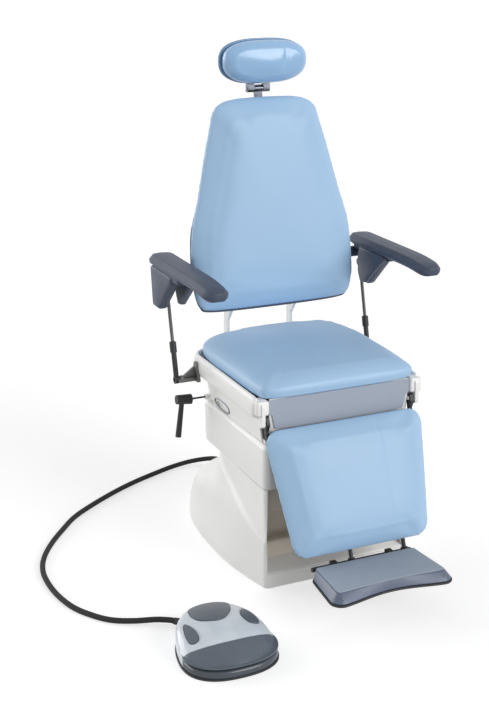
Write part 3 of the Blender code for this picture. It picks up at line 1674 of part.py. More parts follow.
def build_footrest(leg, depth):
    """Tilting foot plate: rim, tapered body and a mat, on a bar through the post eyes."""
    foot = frame("foot_axis", (0, depth, -BAR_DOWN), leg, LEG_LEAN - FOOT_TILT)
    across("foot_bar", BAR_RADIUS, -BAR_HALF, BAR_HALF, 0, 0, "black_metal", foot)

    def level(outline, z):
        return [Vector((u, v, z)) for u, v in outline]

    low = -FOOT_RIM_HEIGHT - FOOT_BODY_HEIGHT + FOOT_RISE
    body_low = low + FOOT_RIM_HEIGHT + TOUCH
    body_top = body_low + FOOT_BODY_HEIGHT
    mid = (body_low + body_top) / 2
    rim = loft(
        "foot_rim",
        [
            level(foot_outline(FOOT_LEDGE), low),
            level(foot_outline(0.0), low + FOOT_LEDGE),
            level(foot_outline(0.0), low + FOOT_RIM_HEIGHT),
        ],
        "dark_plastic",
        foot,
    )
    for side, word in ((LEFT, "left"), (RIGHT, "right")):
        x0 = side * CLIP_X - CLIP_WIDTH / 2
        clip = side_plate(
            f"bar_clip_{word}",
            (
                (POST_EYE_RADIUS, POST_EYE_RADIUS),
                (-POST_EYE_RADIUS, POST_EYE_RADIUS),
                (-POST_EYE_RADIUS - CLIP_REACH, low + FOOT_RIM_HEIGHT * 0.9),
                (-POST_EYE_RADIUS - CLIP_REACH, low + FOOT_RIM_HEIGHT * 0.2),
                (POST_EYE_RADIUS, low + FOOT_RIM_HEIGHT * 0.2),
            ),
            x0,
            x0 + CLIP_WIDTH,
            None,
            foot,
        )
        bore = across(
            f"clip_bore_{word}", BAR_RADIUS + TOUCH, x0 - SINK, x0 + CLIP_WIDTH + SINK, 0, 0, None, foot
        )
        join(rim, clip)
        cut(rim, bore)
    body = loft(
        "foot_body",
        [
            level(foot_outline(FOOT_LEDGE), body_low),
            level(foot_outline(FOOT_LEDGE + FOOT_SLOPE * 0.35), mid),
            level(foot_outline(FOOT_LEDGE + FOOT_SLOPE), body_top),
        ],
        "slate_plastic",
        foot,
    )
    clip_room = block(
        "clip_room",
        (-BAR_HALF - PAST_WALL, -POST_EYE_RADIUS - CLIP_REACH - CLIP_ROOM, low),
        (BAR_HALF + PAST_WALL, PAST_WALL, POST_EYE_RADIUS + TOUCH * 2),
        None,
        foot,
    )
    cut(body, clip_room)
    loft(
        "foot_mat",
        [
            level(foot_outline(FOOT_LEDGE * 2 + FOOT_SLOPE), body_top + TOUCH),
            level(foot_outline(FOOT_LEDGE * 2.7 + FOOT_SLOPE), body_top + TOUCH + FOOT_MAT_HEIGHT),
        ],
        "light_mat",
        foot,
    )


# Foot control


def control_height(x, y):
    """Height of the control's domed top above the floor, before the pedal's slope."""
    u = (x - CONTROL_X) / (CONTROL_HALF * 1.25)
    v = (y - CONTROL_Y - 0.03) / (CONTROL_HALF_DEPTH * 1.30)
    return CONTROL_TOP * math.sqrt(max(0.0, 1 - u * u - v * v))


def control_plan(grow):
    """The control's oval plan, narrower towards the rear."""
    oval = superellipse(CONTROL_HALF + grow, CONTROL_HALF_DEPTH + grow, CONTROL_FULLNESS, 40)
    return [Vector((u * (1 - CONTROL_TAPER * v / CONTROL_HALF_DEPTH), v)) for u, v in oval]


def control_dome(name, low, look, grow=0.0):
    """The domed body over its plan, from a flat foot."""
    outline = control_plan(grow)
    rings = [[Vector((CONTROL_X + u, CONTROL_Y + v, low)) for u, v in outline]]
    for share in (1.0, 0.985, 0.94, 0.86, 0.72, 0.52, 0.28, 0.08):
        ring = []
        for u, v in outline:
            x = CONTROL_X + u * share
            y = CONTROL_Y + v * share
            ring.append(Vector((x, y, max(control_height(x, y) + grow, low + 0.010))))
        rings.append(ring)
    return loft(name, rings, look)


def oval_post(name, x, y, half_width, half_depth, low, high, look, fullness=2.2, parent=None):
    outline = superellipse(half_width, half_depth, fullness, 28)
    rings = [[Vector((x + u, y + v, z)) for u, v in outline] for z in (low, high)]
    return loft(name, rings, look, parent)


BUTTONS = (
    ("rear", CONTROL_X + 0.006, CONTROL_Y + 0.078, 0.056, 0.036),
    ("left", CONTROL_X - 0.086, CONTROL_Y - 0.012, 0.021, 0.029),
    ("right", CONTROL_X + 0.086, CONTROL_Y + 0.012, 0.021, 0.029),
)


def build_control():
    base_outline = control_plan(0.003)
    rings = [
        [Vector((CONTROL_X + u, CONTROL_Y + v, z)) for u, v in base_outline]
        for z in (0.0, CONTROL_BASE_HEIGHT)
    ]
    loft("control_base", rings, "dark_plastic")

    foot = CONTROL_BASE_HEIGHT + TOUCH
    housing = control_dome("control_housing", foot, "grey_plastic")
    front = CONTROL_Y - CONTROL_HALF_DEPTH - PAST_WALL
    pedal_room = block(
        "pedal_room",
        (CONTROL_X - CONTROL_HALF * 2, front, foot + PEDAL_LIFT * 0.4),
        (CONTROL_X + CONTROL_HALF * 2, PEDAL_SPLIT + PEDAL_GAP, CONTROL_TOP + PAST_WALL),
        None,
    )
    cut(housing, pedal_room)

    pedal = control_dome("control_pedal", foot, "slate_plastic")
    pedal.parent = frame("pedal_axis", (CONTROL_X, PEDAL_SPLIT, foot + PEDAL_LIFT))
    pedal.location = -pedal.parent.location
    keep = block(
        "pedal_keep",
        (CONTROL_X - CONTROL_HALF * 0.90, front, foot + PEDAL_LIFT),
        (CONTROL_X + CONTROL_HALF * 0.90, PEDAL_SPLIT, CONTROL_TOP + PAST_WALL),
        None,
    )
    boolean(pedal, "INTERSECT", keep)

    for word, x, y, half_width, half_depth in BUTTONS:
        floor = control_height(x, y) - BUTTON_DEPTH
        pocket = oval_post(
            f"button_pocket_{word}",
            x,
            y,
            half_width + BUTTON_GAP,
            half_depth + BUTTON_GAP,
            floor,
            CONTROL_TOP + PAST_WALL,
            None,
        )
        cut(housing, pocket)
        axis = frame(f"button_axis_{word}", (x, y, 0))
        button = oval_post(
            f"control_button_{word}",
            0,
            0,
            half_width,
            half_depth,
            floor + BUTTON_TRAVEL + TOUCH,
            CONTROL_TOP + PAST_WALL,
            "slate_plastic",
            parent=axis,
        )
        boolean(button, "INTERSECT", control_dome(f"button_dome_{word}", 0.0, None, 0.002))

    start = Vector(RELIEF_START)
    end = Vector(RELIEF_END)
    outward = (end - start).normalized()
    relief = rod(
        "cord_relief",
        RELIEF_RADIUS,
        start + outward * TOUCH,
        end,
        "dark_plastic",
        end_radius=RELIEF_RADIUS * 0.82,
        sides=16,
    )
    relief_room = control_dome("relief_room", 0.0, None, TOUCH)
    cut(relief, relief_room)


def build_cord():
    start = Vector((GLAND_X, BASE_REAR + GLAND_LENGTH + TOUCH, GLAND_Z))
    end = Vector(RELIEF_END)
    outward = (end - Vector(RELIEF_START)).normalized()
    end += outward * TOUCH
    route = [start + Vector((0, 2 * CORD_RADIUS, 0))]
    route += [Vector(point) for point in CORD_POINTS]
    route.append(end + outward * 2 * CORD_RADIUS)
    points = [start, route[0]]
    for point in catmull(route, 12, closed=False):
        clear_of_end = (route[-1] - point).length > CORD_STEP / 2
        if clear_of_end and (point - points[-1]).length > CORD_STEP:
            points.append(point)
    points += [route[-1], end]
    tube("control_cord", points, CORD_RADIUS, "cord_rubber")


def main():
    build_base()
    lift = build_lift()
    seat = build_seat(lift)
    build_lever(seat)
    back = build_back(seat)
    for side, word in ((LEFT, "left"), (RIGHT, "right")):
        build_arm(back, side, word)
        build_link(seat, side, word)
    build_leg(seat)
    build_control()
    build_cord()


main()
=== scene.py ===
"""Looks of a powered ear, nose and throat examination chair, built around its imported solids.

The chair faces -Y and stands on the floor at Z = 0, with the lift column on the Z axis.
Sizes are metres.
"""

import math
from functools import cached_property

import bmesh
import bpy
import numpy as np
from bpy.props import FloatProperty, FloatVectorProperty, PointerProperty
from mathutils import Matrix, Vector


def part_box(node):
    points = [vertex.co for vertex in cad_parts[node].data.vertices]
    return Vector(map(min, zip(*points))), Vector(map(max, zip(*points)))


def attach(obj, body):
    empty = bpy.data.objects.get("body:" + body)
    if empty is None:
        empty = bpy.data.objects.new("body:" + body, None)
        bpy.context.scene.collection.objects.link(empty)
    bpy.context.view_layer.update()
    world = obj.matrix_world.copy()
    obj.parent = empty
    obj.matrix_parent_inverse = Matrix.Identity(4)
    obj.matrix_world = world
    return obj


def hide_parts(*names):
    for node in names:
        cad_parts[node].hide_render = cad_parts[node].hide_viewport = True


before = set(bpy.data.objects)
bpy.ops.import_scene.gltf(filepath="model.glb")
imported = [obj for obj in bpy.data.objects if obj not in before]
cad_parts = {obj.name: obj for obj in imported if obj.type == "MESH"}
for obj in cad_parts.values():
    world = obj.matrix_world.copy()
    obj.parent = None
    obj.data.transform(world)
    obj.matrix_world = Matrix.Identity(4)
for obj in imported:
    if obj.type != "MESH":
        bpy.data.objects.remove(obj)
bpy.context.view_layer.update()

bl_info = {
    "name": "Examination chair",
    "version": (1, 0, 0),
    "blender": (4, 5, 0),
    "location": "View3D > Sidebar > Chair",
    "description": "Upholstery, covers, armrests, footrest and foot control of an examination chair",
    "category": "Object",
}

SIDES = (("left", -1), ("right", 1))


def colour_property(name, description, default):
    return FloatVectorProperty(
        name=name, description=description, subtype="COLOR", size=3, min=0, max=1, default=default
    )


def number_property(name, description, default, unit="NONE"):
    return FloatProperty(name=name, description=description, unit=unit, min=0, default=default)


def length_property(name, description, default):
    return number_property(name, description, default, "LENGTH")


class UpholsterySettings(bpy.types.PropertyGroup):
    """Cushions, headrest and the flap under the seat."""

    vinyl: colour_property("Vinyl", "Colour of the seat, back and leg cushions", (0.39, 0.592, 0.825))
    head: colour_property("Headrest", "Colour of the glossy headrest", (0.315, 0.535, 0.81))
    flap: colour_property("Flap", "Colour of the flap under the seat's front", (0.4, 0.445, 0.53))
    grain: length_property("Grain", "Pitch of the vinyl's pebble grain", 0.0016)
    swell: length_property("Swell", "Most that the foam may push the cover out", 0.009)


class CoverSettings(bpy.types.PropertyGroup):
    """White covers and painted metal."""

    white: colour_property("White", "Colour of the moulded covers", (0.965, 0.96, 0.94))
    edge: length_property("Edge", "Rounding of the covers' edges", 0.003)


class FrameSettings(bpy.types.PropertyGroup):
    """Armrests, links, headrest stem and footrest."""

    slate: colour_property("Slate", "Colour of the armrests and shells", (0.063, 0.08, 0.121))
    black: colour_property("Black", "Colour of the coated steel", (0.022, 0.022, 0.025))
    mat: colour_property("Mat", "Colour of the footrest's mat", (0.375, 0.43, 0.505))


class ControlSettings(bpy.types.PropertyGroup):
    """Foot control and its cord."""

    shell: colour_property("Shell", "Colour of the control's top shell", (0.67, 0.735, 0.81))
    pedal: colour_property("Pedal", "Colour of the pedal and buttons", (0.105, 0.128, 0.16))
    cord: length_property("Cord", "Radius of the cord", 0.0085)
    rib: length_property("Rib", "Pitch of the cord's ribs", 0.0072)


class StageSettings(bpy.types.PropertyGroup):
    """Floor, lamps and light all round."""

    floor: length_property("Floor", "Half the floor's width", 60.0)
    key: number_property("Key", "Strength of the soft key light", 1.75)
    side: number_property("Side", "Strength of the light from the chair's right", 2.35)
    fill: number_property("Fill", "Strength of the light all round", 0.37)


SETTINGS = {
    "upholstery": UpholsterySettings,
    "covers": CoverSettings,
    "frame": FrameSettings,
    "control": ControlSettings,
    "stage": StageSettings,
}


def chosen(group):
    """The scene's settings of one group."""
    return getattr(bpy.context.scene, "exam_chair_" + group)


# Shader maths


class Wire:
    """A shader value; arithmetic on it adds Math nodes."""

    def __init__(self, paint, socket):
        self.paint = paint
        self.socket = socket

    def _math(self, operation, first, second):
        return self.paint.add("Math", {"operation": operation}, {0: first, 1: second})

    def __add__(self, other):
        return self._math("ADD", self, other)

    def __sub__(self, other):
        return self._math("SUBTRACT", self, other)

    def __rsub__(self, other):
        return self._math("SUBTRACT", other, self)

    def __mul__(self, other):
        return self._math("MULTIPLY", self, other)

    __radd__ = __add__
    __rmul__ = __mul__


class Paint:
    """The nodes of a material, or of the world, around its shader."""

    def __init__(self, owner, shader="Principled BSDF"):
        owner.use_nodes = True
        self.tree = owner.node_tree
        self.shader = self.tree.nodes[shader]

    def add(self, kind, options, inputs, output=0):
        node = self.tree.nodes.new("ShaderNode" + kind)
        for name, value in options.items():
            setattr(node, name, value)
        self.feed(node, inputs)
        return Wire(self, node.outputs[output])

    def feed(self, node, inputs):
        for key, value in inputs.items():
            if isinstance(value, Wire):
                self.tree.links.new(value.socket, node.inputs[key])
            else:
                node.inputs[key].default_value = value

    def shade(self, **inputs):
        """Sets the shader's inputs, named in small letters."""
        for name, value in inputs.items():
            self.feed(self.shader, {name.replace("_", " ").title().replace("Ior", "IOR"): value})

    @cached_property
    def place(self):
        return self.add("TexCoord", {}, {}, "Object")

    def height(self):
        return self.add("SeparateXYZ", {}, {0: self.place}, "Z")

    def attribute(self, name):
        return self.add("Attribute", {"attribute_name": name}, {}, "Fac")

    def clouds(self, scale, detail=2.0, stretch=None):
        where = self.place
        if stretch:
            where = self.add("VectorMath", {"operation": "MULTIPLY"}, {0: where, 1: stretch})
        return self.add("TexNoise", {}, {"Vector": where, "Scale": scale, "Detail": detail})

    def pebbles(self, scale):
        return self.add("TexVoronoi", {}, {"Vector": self.place, "Scale": scale}, "Distance")

    def ramp(self, value, low, high):
        """0 below low, 1 above high, smooth between them."""
        limits = {"Value": value, "From Min": low, "From Max": high}
        return self.add("MapRange", {"interpolation_type": "SMOOTHSTEP"}, limits)

    def blend(self, share, first, second):
        return self.add("Mix", {"data_type": "RGBA"}, {0: share, 6: first, 7: second}, 2)

    def bump(self, height, distance, strength):
        inputs = {"Height": height, "Distance": distance, "Strength": strength}
        self.shade(normal=self.add("Bump", {}, inputs))

    def seen(self):
        """1 for what the camera sees, also in metal and through glass, and 0 for light that falls."""
        hidden = 1.0
        for ray in ("Camera", "Glossy", "Transmission"):
            hidden = (1 - self.add("LightPath", {}, {}, f"Is {ray} Ray")) * hidden
        return 1 - hidden


def tone(colour, factor=1.0):
    """The colour made lighter or darker, as a shader colour."""
    return tuple(min(1.0, c * factor) for c in colour) + (1.0,)


def vinyl(paint, colour, roughness, coat):
    """Coated upholstery cloth: pebble grain, faint clouding, and a painted highlight along the rolled border,
    where the cover is also polished by use.
    """
    cloud = paint.clouds(5.0, 3.0)
    pebble = paint.pebbles(1 / chosen("upholstery").grain)
    pores = paint.clouds(2600.0, 1.0)
    # The edge attribute marks the rolled border: the colour is lightened there as a painted highlight, and the
    # roughness is lowered as polish from use.
    rubbed = paint.attribute("edge")
    body = paint.blend(cloud, tone(colour, 0.955), tone(colour, 1.04))
    wear_and_highlight = paint.blend(rubbed * 0.5, body, tone(colour, 1.1))
    paint.shade(
        base_color=paint.blend(pebble * 0.1, wear_and_highlight, tone(colour, 0.55)),
        roughness=roughness + (cloud - 0.5) * 0.12 + pebble * 0.05 - rubbed * 0.06,
        coat_weight=coat, coat_roughness=0.22,
    )
    paint.bump(pebble * 0.75 + pores * 0.25, 0.0004, 0.3)


def enamel(paint, colour, roughness):
    """Painted moulded cover: faint orange peel, soft smudges, scuffs near the floor."""
    peel = paint.clouds(380.0, 1.0)
    smudge = paint.clouds(9.0, 4.0)
    scratch = paint.clouds(60.0, 3.0, (1, 1, 6))
    low = 1 - paint.ramp(paint.height(), 0.004, 0.075)
    scuff = low * paint.ramp(scratch, 0.52, 0.66)
    body = paint.blend(smudge, tone(colour, 0.965), tone(colour, 1.025))
    paint.shade(
        base_color=paint.blend(scuff * 0.2, body, tone(colour, 0.7)),
        roughness=roughness + (smudge - 0.5) * 0.16 + scuff * 0.2,
        coat_weight=0.15, coat_roughness=0.12,
    )
    paint.bump(peel, 0.0004, 0.1)


def moulded(paint, colour, roughness, stipple, depth=0.0003, specular=0.5, coat=0.0):
    """Moulded plastic or skin foam: stipple, flow marks and slightly rubbed highs."""
    dots = paint.pebbles(stipple)
    flow = paint.clouds(14.0, 4.0)
    haze = paint.clouds(120.0, 2.0)
    body = paint.blend(flow, tone(colour, 0.88), tone(colour, 1.1))
    paint.shade(
        base_color=paint.blend(haze * 0.16, body, tone(colour, 1.45)),
        roughness=roughness + (flow - 0.5) * 0.14 + dots * 0.06,
        specular_ior_level=specular, coat_weight=coat, coat_roughness=0.1,
    )
    paint.bump(dots * 0.7 + haze * 0.3, depth, 0.22)


def rubber_mat(paint, colour):
    """Stippled rubber mat with dust in its hollows."""
    dust = paint.clouds(30.0, 4.0)
    dots = paint.pebbles(420.0)
    body = paint.blend(dust, tone(colour, 0.92), tone(colour, 1.08))
    paint.shade(
        base_color=paint.blend(dots * 0.12, body, tone(colour, 0.6)), roughness=0.62 + (dust - 0.5) * 0.2
    )
    paint.bump(dots, 0.0004, 0.35)


def powder_coat(paint, colour, wear_and_highlight):
    """Powder coat: fine texture with grey rubbed patches."""
    speck = paint.clouds(1500.0, 1.0)
    rubbed = paint.ramp(paint.clouds(70.0, 4.0), 0.58, 0.74)
    paint.shade(
        base_color=paint.blend(rubbed * 0.35, tone(colour), tone(wear_and_highlight)),
        roughness=0.46 + (speck - 0.5) * 0.2 - rubbed * 0.1, metallic=0.25,
    )
    paint.bump(speck, 0.0003, 0.25)


def metal(paint, colour, roughness, streak=None):
    """Bare metal with drawn streaks and faint handling marks."""
    drawn = paint.clouds(40.0, 3.0, streak)
    marks = paint.clouds(22.0, 4.0)
    paint.shade(
        base_color=paint.blend(marks, tone(colour, 0.9), tone(colour, 1.05)), metallic=1.0,
        roughness=roughness + (drawn - 0.5) * 0.1 + (marks - 0.5) * 0.08,
    )
    paint.bump(drawn, 0.0002, 0.08)


def beech(paint, dark, light, pore):
    """Beech ply: long figure and darker pores."""
    figure = paint.clouds(14.0, 4.0, (1, 12, 12))
    pores = paint.ramp(paint.clouds(60.0, 2.0, (1, 14, 14)), 0.58, 0.7)
    body = paint.blend(figure, tone(dark), tone(light))
    paint.shade(base_color=paint.blend(pores * 0.5, body, tone(pore)), roughness=0.65 + pores * 0.1)
    paint.bump(pores, 0.0003, 0.2)


def sleeve(paint, colour, dust):
    """Black cord sleeve, dusty where it lies on the floor."""
    dusty = (1 - paint.ramp(paint.height(), 0.002, 0.014)) * paint.clouds(45.0, 4.0)
    paint.shade(
        base_color=paint.blend(dusty * 0.55, tone(colour), tone(dust)), roughness=0.48 + dusty * 0.25
    )
    paint.bump(paint.clouds(1200.0, 1.0), 0.0003, 0.3)


# Recipe, colour (or the group, name and factor of a setting), and the recipe's other values
FINISHES = {
    "cushion_vinyl": (vinyl, ("upholstery", "vinyl", 1), 0.47, 0.04),
    "head_vinyl": (vinyl, ("upholstery", "head", 1), 0.24, 0.45),
    "flap_vinyl": (vinyl, ("upholstery", "flap", 1), 0.55, 0.0),
    "cover_enamel": (enamel, ("covers", "white", 1), 0.36),
    "white_steel": (enamel, ("covers", "white", 1), 0.3),
    "slate_foam": (moulded, ("frame", "slate", 1), 0.42, 900.0, 0.0003, 0.28),
    "shell_plastic": (moulded, ("frame", "slate", 1), 0.46, 700.0),
    "footrest_plastic": (moulded, ("frame", "slate", 1.75), 0.32, 800.0),
    "rim_rubber": (moulded, (0.02, 0.021, 0.024), 0.55, 600.0),
    "control_shell": (moulded, ("control", "shell", 1), 0.24, 1100.0, 0.00015, 0.5, 0.6),
    "pedal_rubber": (moulded, ("control", "pedal", 1), 0.3, 750.0),
    "control_skirt": (moulded, ("control", "pedal", 0.62), 0.2, 900.0),
    "head_plastic": (moulded, ("upholstery", "head", 0.62), 0.3, 700.0),
    "recess_plastic": (moulded, (0.84, 0.755, 0.64), 0.5, 500.0),
    "foot_mat": (rubber_mat, ("frame", "mat", 1)),
    "black_coat": (powder_coat, ("frame", "black", 1), (0.1, 0.1, 0.105)),
    "satin_steel": (metal, (0.2, 0.212, 0.245), 0.3),
    "brushed_steel": (metal, (0.56, 0.565, 0.58), 0.3, (0.2, 6, 6)),
    "dark_steel": (metal, (0.16, 0.16, 0.17), 0.42, (0.3, 4, 4)),
    "cast_grey": (metal, (0.2, 0.2, 0.195), 0.5),
    "rod_steel": (metal, (0.1, 0.1, 0.095), 0.34, (5, 5, 0.4)),
    "plywood": (beech, (0.42, 0.28, 0.16), (0.58, 0.42, 0.26), (0.25, 0.15, 0.08)),
    "cord_rubber": (sleeve, (0.012, 0.012, 0.013), (0.085, 0.08, 0.072)),
}


def finish_of(name):
    """The named material, made on first use."""
    material = bpy.data.materials.get(name)
    if material is None:
        material = bpy.data.materials.new(name)
        recipe, colour, *values = FINISHES[name]
        if isinstance(colour[0], str):
            group, setting, factor = colour
            colour = [c * factor for c in getattr(chosen(group), setting)]
        recipe(Paint(material), colour, *values)
    return material


# Meshes


def object_from(name, bm):
    mesh = bpy.data.meshes.new(name)
    bm.to_mesh(mesh)
    bm.free()
    made = bpy.data.objects.new(name, mesh)
    bpy.context.scene.collection.objects.link(made)
    return made


def modified(made, kind, **values):
    """Adds a modifier with the given values."""
    modifier = made.modifiers.new(kind.lower(), kind)
    for name, value in values.items():
        setattr(modifier, name, value)
    return made


def settle(made):
    """Applies a piece's modifiers to its mesh."""
    graph = bpy.context.evaluated_depsgraph_get()
    mesh = bpy.data.meshes.new_from_object(made.evaluated_get(graph))
    made.modifiers.clear()
    made.data = mesh
    return made


def refined(made):
    """Applies one level of subdivision."""
    return settle(modified(made, "SUBSURF", levels=1, render_levels=1))


def rounded_edges(made, width, segments=3, angle=35):
    return modified(
        made, "BEVEL", width=width, segments=segments, limit_method="ANGLE", angle_limit=math.radians(angle),
        use_clamp_overlap=True, harden_normals=True,
    )


def carve(made, cutters, operation="DIFFERENCE"):
    """Cuts or keeps by other meshes or objects, which are used up."""
    tools = [c if isinstance(c, bpy.types.Object) else object_from("cutter", c) for c in cutters]
    for tool in tools:
        modified(made, "BOOLEAN", operation=operation, solver="EXACT", object=tool)
    settle(made)
    for tool in tools:
        bpy.data.objects.remove(tool)
    return made


def dress(made, finish, body, slot, *nodes, angle=35):
    """Shades a piece, gives it its finish, and puts it on its body in place of CAD nodes."""
    made.data.materials.clear()
    made.data.materials.append(finish_of(finish))
    if made.type == "MESH":
        made.data.shade_smooth()
        made.data.set_sharp_from_angle(angle=math.radians(angle))
    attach(made, body)
    if nodes:
        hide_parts(*nodes)
    return made


def piece(name, form, finish, body, slot, *nodes, angle=35, cut=(), keep=(), edge=()):
    """A dressed piece: a form cut by others or kept within them, its edges rounded by (width, ...)."""
    made = object_from(name, form)
    if cut:
        carve(made, cut)
    if keep:
        carve(made, keep, "INTERSECT")
    if edge:
        rounded_edges(made, *edge)
    return dress(made, finish, body, slot, *nodes, angle=angle)


def trim(node, finish, body, slot, width):
    """A CAD node's own shape with softened edges."""
    return piece("trim_" + node, copied(node), finish, body, slot, node, edge=(width, 2))


BASE_WHITE = ("cover_enamel", "base", "white_cover")
SEAT_WHITE = ("cover_enamel", "seat", "white_cover")


def copied(node):
    """A merged copy of a CAD node's mesh with its flat faces joined."""
    bm = bmesh.new()
    bm.from_mesh(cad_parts[node].data)
    bmesh.ops.remove_doubles(bm, verts=bm.verts, dist=1e-5)
    bmesh.ops.dissolve_limit(bm, angle_limit=math.radians(0.6), verts=bm.verts, edges=bm.edges)
    return bm


def loft(rings, close=True):
    """A skin drawn from ring to ring by extruding the first ring's edges."""
    bm = bmesh.new()
    verts = bmesh.ops.create_circle(bm, segments=len(rings[0]), radius=1)["verts"]
    edges = bm.edges[:]
    order = {vert: i for i, vert in enumerate(verts)}
    for vert, i in order.items():
        vert.co = rings[0][i]
    for ring in rings[1:]:
        grown = bmesh.ops.extrude_edge_only(bm, edges=edges)["geom"]
        fresh = {}
        for vert in grown:
            if isinstance(vert, bmesh.types.BMVert):
                source = next(e.other_vert(vert) for e in vert.link_edges if e.other_vert(vert) in order)
                fresh[vert] = order[source]
        edges = [e for e in grown if isinstance(e, bmesh.types.BMEdge) and all(v in fresh for v in e.verts)]
        order = fresh
        for vert, i in order.items():
            vert.co = ring[i]
    if close:
        bmesh.ops.holes_fill(bm, edges=[e for e in bm.edges if e.is_boundary], sides=0)
    else:
        bmesh.ops.remove_doubles(bm, verts=bm.verts, dist=1e-6)
    bmesh.ops.recalc_face_normals(bm, faces=bm.faces)
    return bm


def level(outline, height, place=Matrix()):
    """A flat outline as a ring at a height, in a frame."""
    return [place @ Vector((*point, height)) for point in outline]


def slice_at(x, outline):
    """An outline of the chair's side as a ring at a place across it."""
    return [Vector((x, *point)) for point in outline]


def sided(rings, side):
    """Rings of the right-hand side, put on either side."""
    return [[Vector((side * x, y, z)) for x, y, z in ring] for ring in rings]


def spun(profile, centre, axis, steps=40):
    """A profile of (radius, way along) turned about an axis."""
    turn = Vector(axis).to_track_quat("Z", "Y").to_matrix().to_4x4()
    bm = bmesh.new()
    verts = [bm.verts.new((radius, 0, along)) for radius, along in profile]
    for first, second in zip(verts, verts[1:]):
        bm.edges.new((first, second))
    bmesh.ops.spin(
        bm, geom=bm.verts[:] + bm.edges[:], axis=(0, 0, 1), cent=(0, 0, 0), angle=math.tau, steps=steps,
        use_merge=True,
    )
    bmesh.ops.remove_doubles(bm, verts=bm.verts, dist=1e-6)
    bmesh.ops.recalc_face_normals(bm, faces=bm.faces)
    bmesh.ops.transform(bm, matrix=Matrix.Translation(centre) @ turn, verts=bm.verts)
    return bm


def rod(radius, low, high):
    """Profile of a plain round bar."""
    return ((0, low), (radius, low), (radius, high), (0, high))


def block(one, other):
    """A box between two corners."""
    low, high = (Vector(map(pick, one, other)) for pick in (min, max))
    bm = bmesh.new()
    bmesh.ops.create_cube(bm, size=1)
    bmesh.ops.scale(bm, vec=high - low, verts=bm.verts)
    bmesh.ops.translate(bm, vec=(low + high) / 2, verts=bm.verts)
    return bm


def soft_edges(bm, width, segments=3, angle=30):
    """Bevels the edges that turn more than the angle."""
    sharp = [e for e in bm.edges if len(e.link_faces) == 2 and e.calc_face_angle() > math.radians(angle)]
    bmesh.ops.bevel(
        bm, geom=sharp, offset=width, offset_type="OFFSET", segments=segments, profile=0.5, affect="EDGES",
        clamp_overlap=True, material=-1,
    )
    return bm


def joined(*forms):
    """Several forms as one mesh."""
    whole = bmesh.new()
    for form in forms:
        mesh = bpy.data.meshes.new("part")
        form.to_mesh(mesh)
        form.free()
        whole.from_mesh(mesh)
        bpy.data.meshes.remove(mesh)
    return whole


# Outlines


def quarter(count):
    """Cosine and sine at equal steps of a quarter turn."""
    angles = [math.pi / 2 * k / count for k in range(count + 1)]
    return [(math.cos(angle), math.sin(angle)) for angle in angles]


def clamped(value):
    return min(1.0, max(0.0, value))


def centre_of(points):
    return sum(points, points[0] * 0) / len(points)


def catmull(points, per_span, closed=True):
    """Points along a smooth curve through the given ones."""
    points = [Vector(point) for point in points]
    if closed:
        padded = points[-1:] + points + points[:2]
    else:
        padded = [2 * points[0] - points[1]] + points + [2 * points[-1] - points[-2]]
    curve = []
    for a, b, c, d in zip(padded, padded[1:], padded[2:], padded[3:]):
        for k in range(per_span):
            t = k / per_span
            bend = (2 * a - 5 * b + 4 * c - d) * t * t + (3 * b - a - 3 * c + d) * t * t * t
            curve.append(0.5 * (2 * b + (c - a) * t + bend))
    return curve if closed else curve + [points[-1]]


def spaced(points, count, closed=True):
    """The outline or path again, with its points the same way apart."""
    line = np.array([tuple(p) for p in (list(points) + [points[0]] if closed else points)])
    way = np.concatenate(([0], np.cumsum(np.linalg.norm(np.diff(line, axis=0), axis=1))))
    at = np.linspace(0, way[-1], count, endpoint=not closed)
    return [Vector(p) for p in np.stack([np.interp(at, way, column) for column in line.T], axis=1)]


def length_of(line):
    return sum((b - a).length for a, b in zip(line, line[1:]))


def mirrored(half):
    """A closed outline from its right half, which starts and ends on the centre line."""
    return list(half) + [(-x, v) for x, v in reversed(half[1:-1])]


def superellipse(half_width, half_depth, fullness, count):
    points = []
    for k in range(count):
        angle = math.tau * k / count
        c, s = math.cos(angle), math.sin(angle)
        x = half_width * math.copysign(abs(c) ** (2 / fullness), c)
        points.append(Vector((x, half_depth * math.copysign(abs(s) ** (2 / fullness), s))))
    return points


def rounded(corners, radius, steps=10, between=1):
    """A polygon with its corners replaced by arcs, and its sides cut into equal lengths."""
    arcs = []
    for i, corner in enumerate(corners):
        here = Vector(corner)
        back = (Vector(corners[i - 1]) - here).normalized()
        ahead = (Vector(corners[(i + 1) % len(corners)]) - here).normalized()
        half = back.angle(ahead) / 2
        centre = here + (back + ahead).normalized() * (radius / math.sin(half))
        start = here + back * (radius / math.tan(half))
        sweep = (math.pi - 2 * half) * (1 if back.cross(ahead) < 0 else -1)
        turns = [Matrix.Rotation(sweep * k / steps, 2) for k in range(steps + 1)]
        arcs.append([centre + turn @ (start - centre) for turn in turns])
    outline = []
    for arc, after in zip(arcs, arcs[1:] + arcs[:1]):
        outline += arc + [arc[-1].lerp(after[0], k / between) for k in range(1, between)]
    return outline


def inset(outline, distance):
    """The closed outline moved inwards along its own normals."""
    count = len(outline)
    turn = math.copysign(1, sum(outline[i - 1].cross(outline[i]) for i in range(count)))
    moved = []
    for i, point in enumerate(outline):
        along = (outline[(i + 1) % count] - outline[i - 1]).normalized()
        moved.append(point + distance * turn * Vector((-along.y, along.x)))
    return moved


def eased(outline, passes):
    """The closed outline with its corners drawn rounder."""
    line = np.array([tuple(point) for point in outline])
    for _ in range(passes):
        line = (np.roll(line, 1, 0) + 2 * line + np.roll(line, -1, 0)) / 4
    return [Vector(point) for point in line]


# Frames and outlines of the pads, as the solids have them

UPRIGHT = Matrix(((1, 0, 0, 0), (0, 0, -1, 0), (0, 1, 0, 0), (0, 0, 0, 1)))


def leaning(place, degrees):
    """A frame that leans back."""
    return Matrix.Translation(place) @ Matrix.Rotation(math.radians(-degrees), 4, "X")


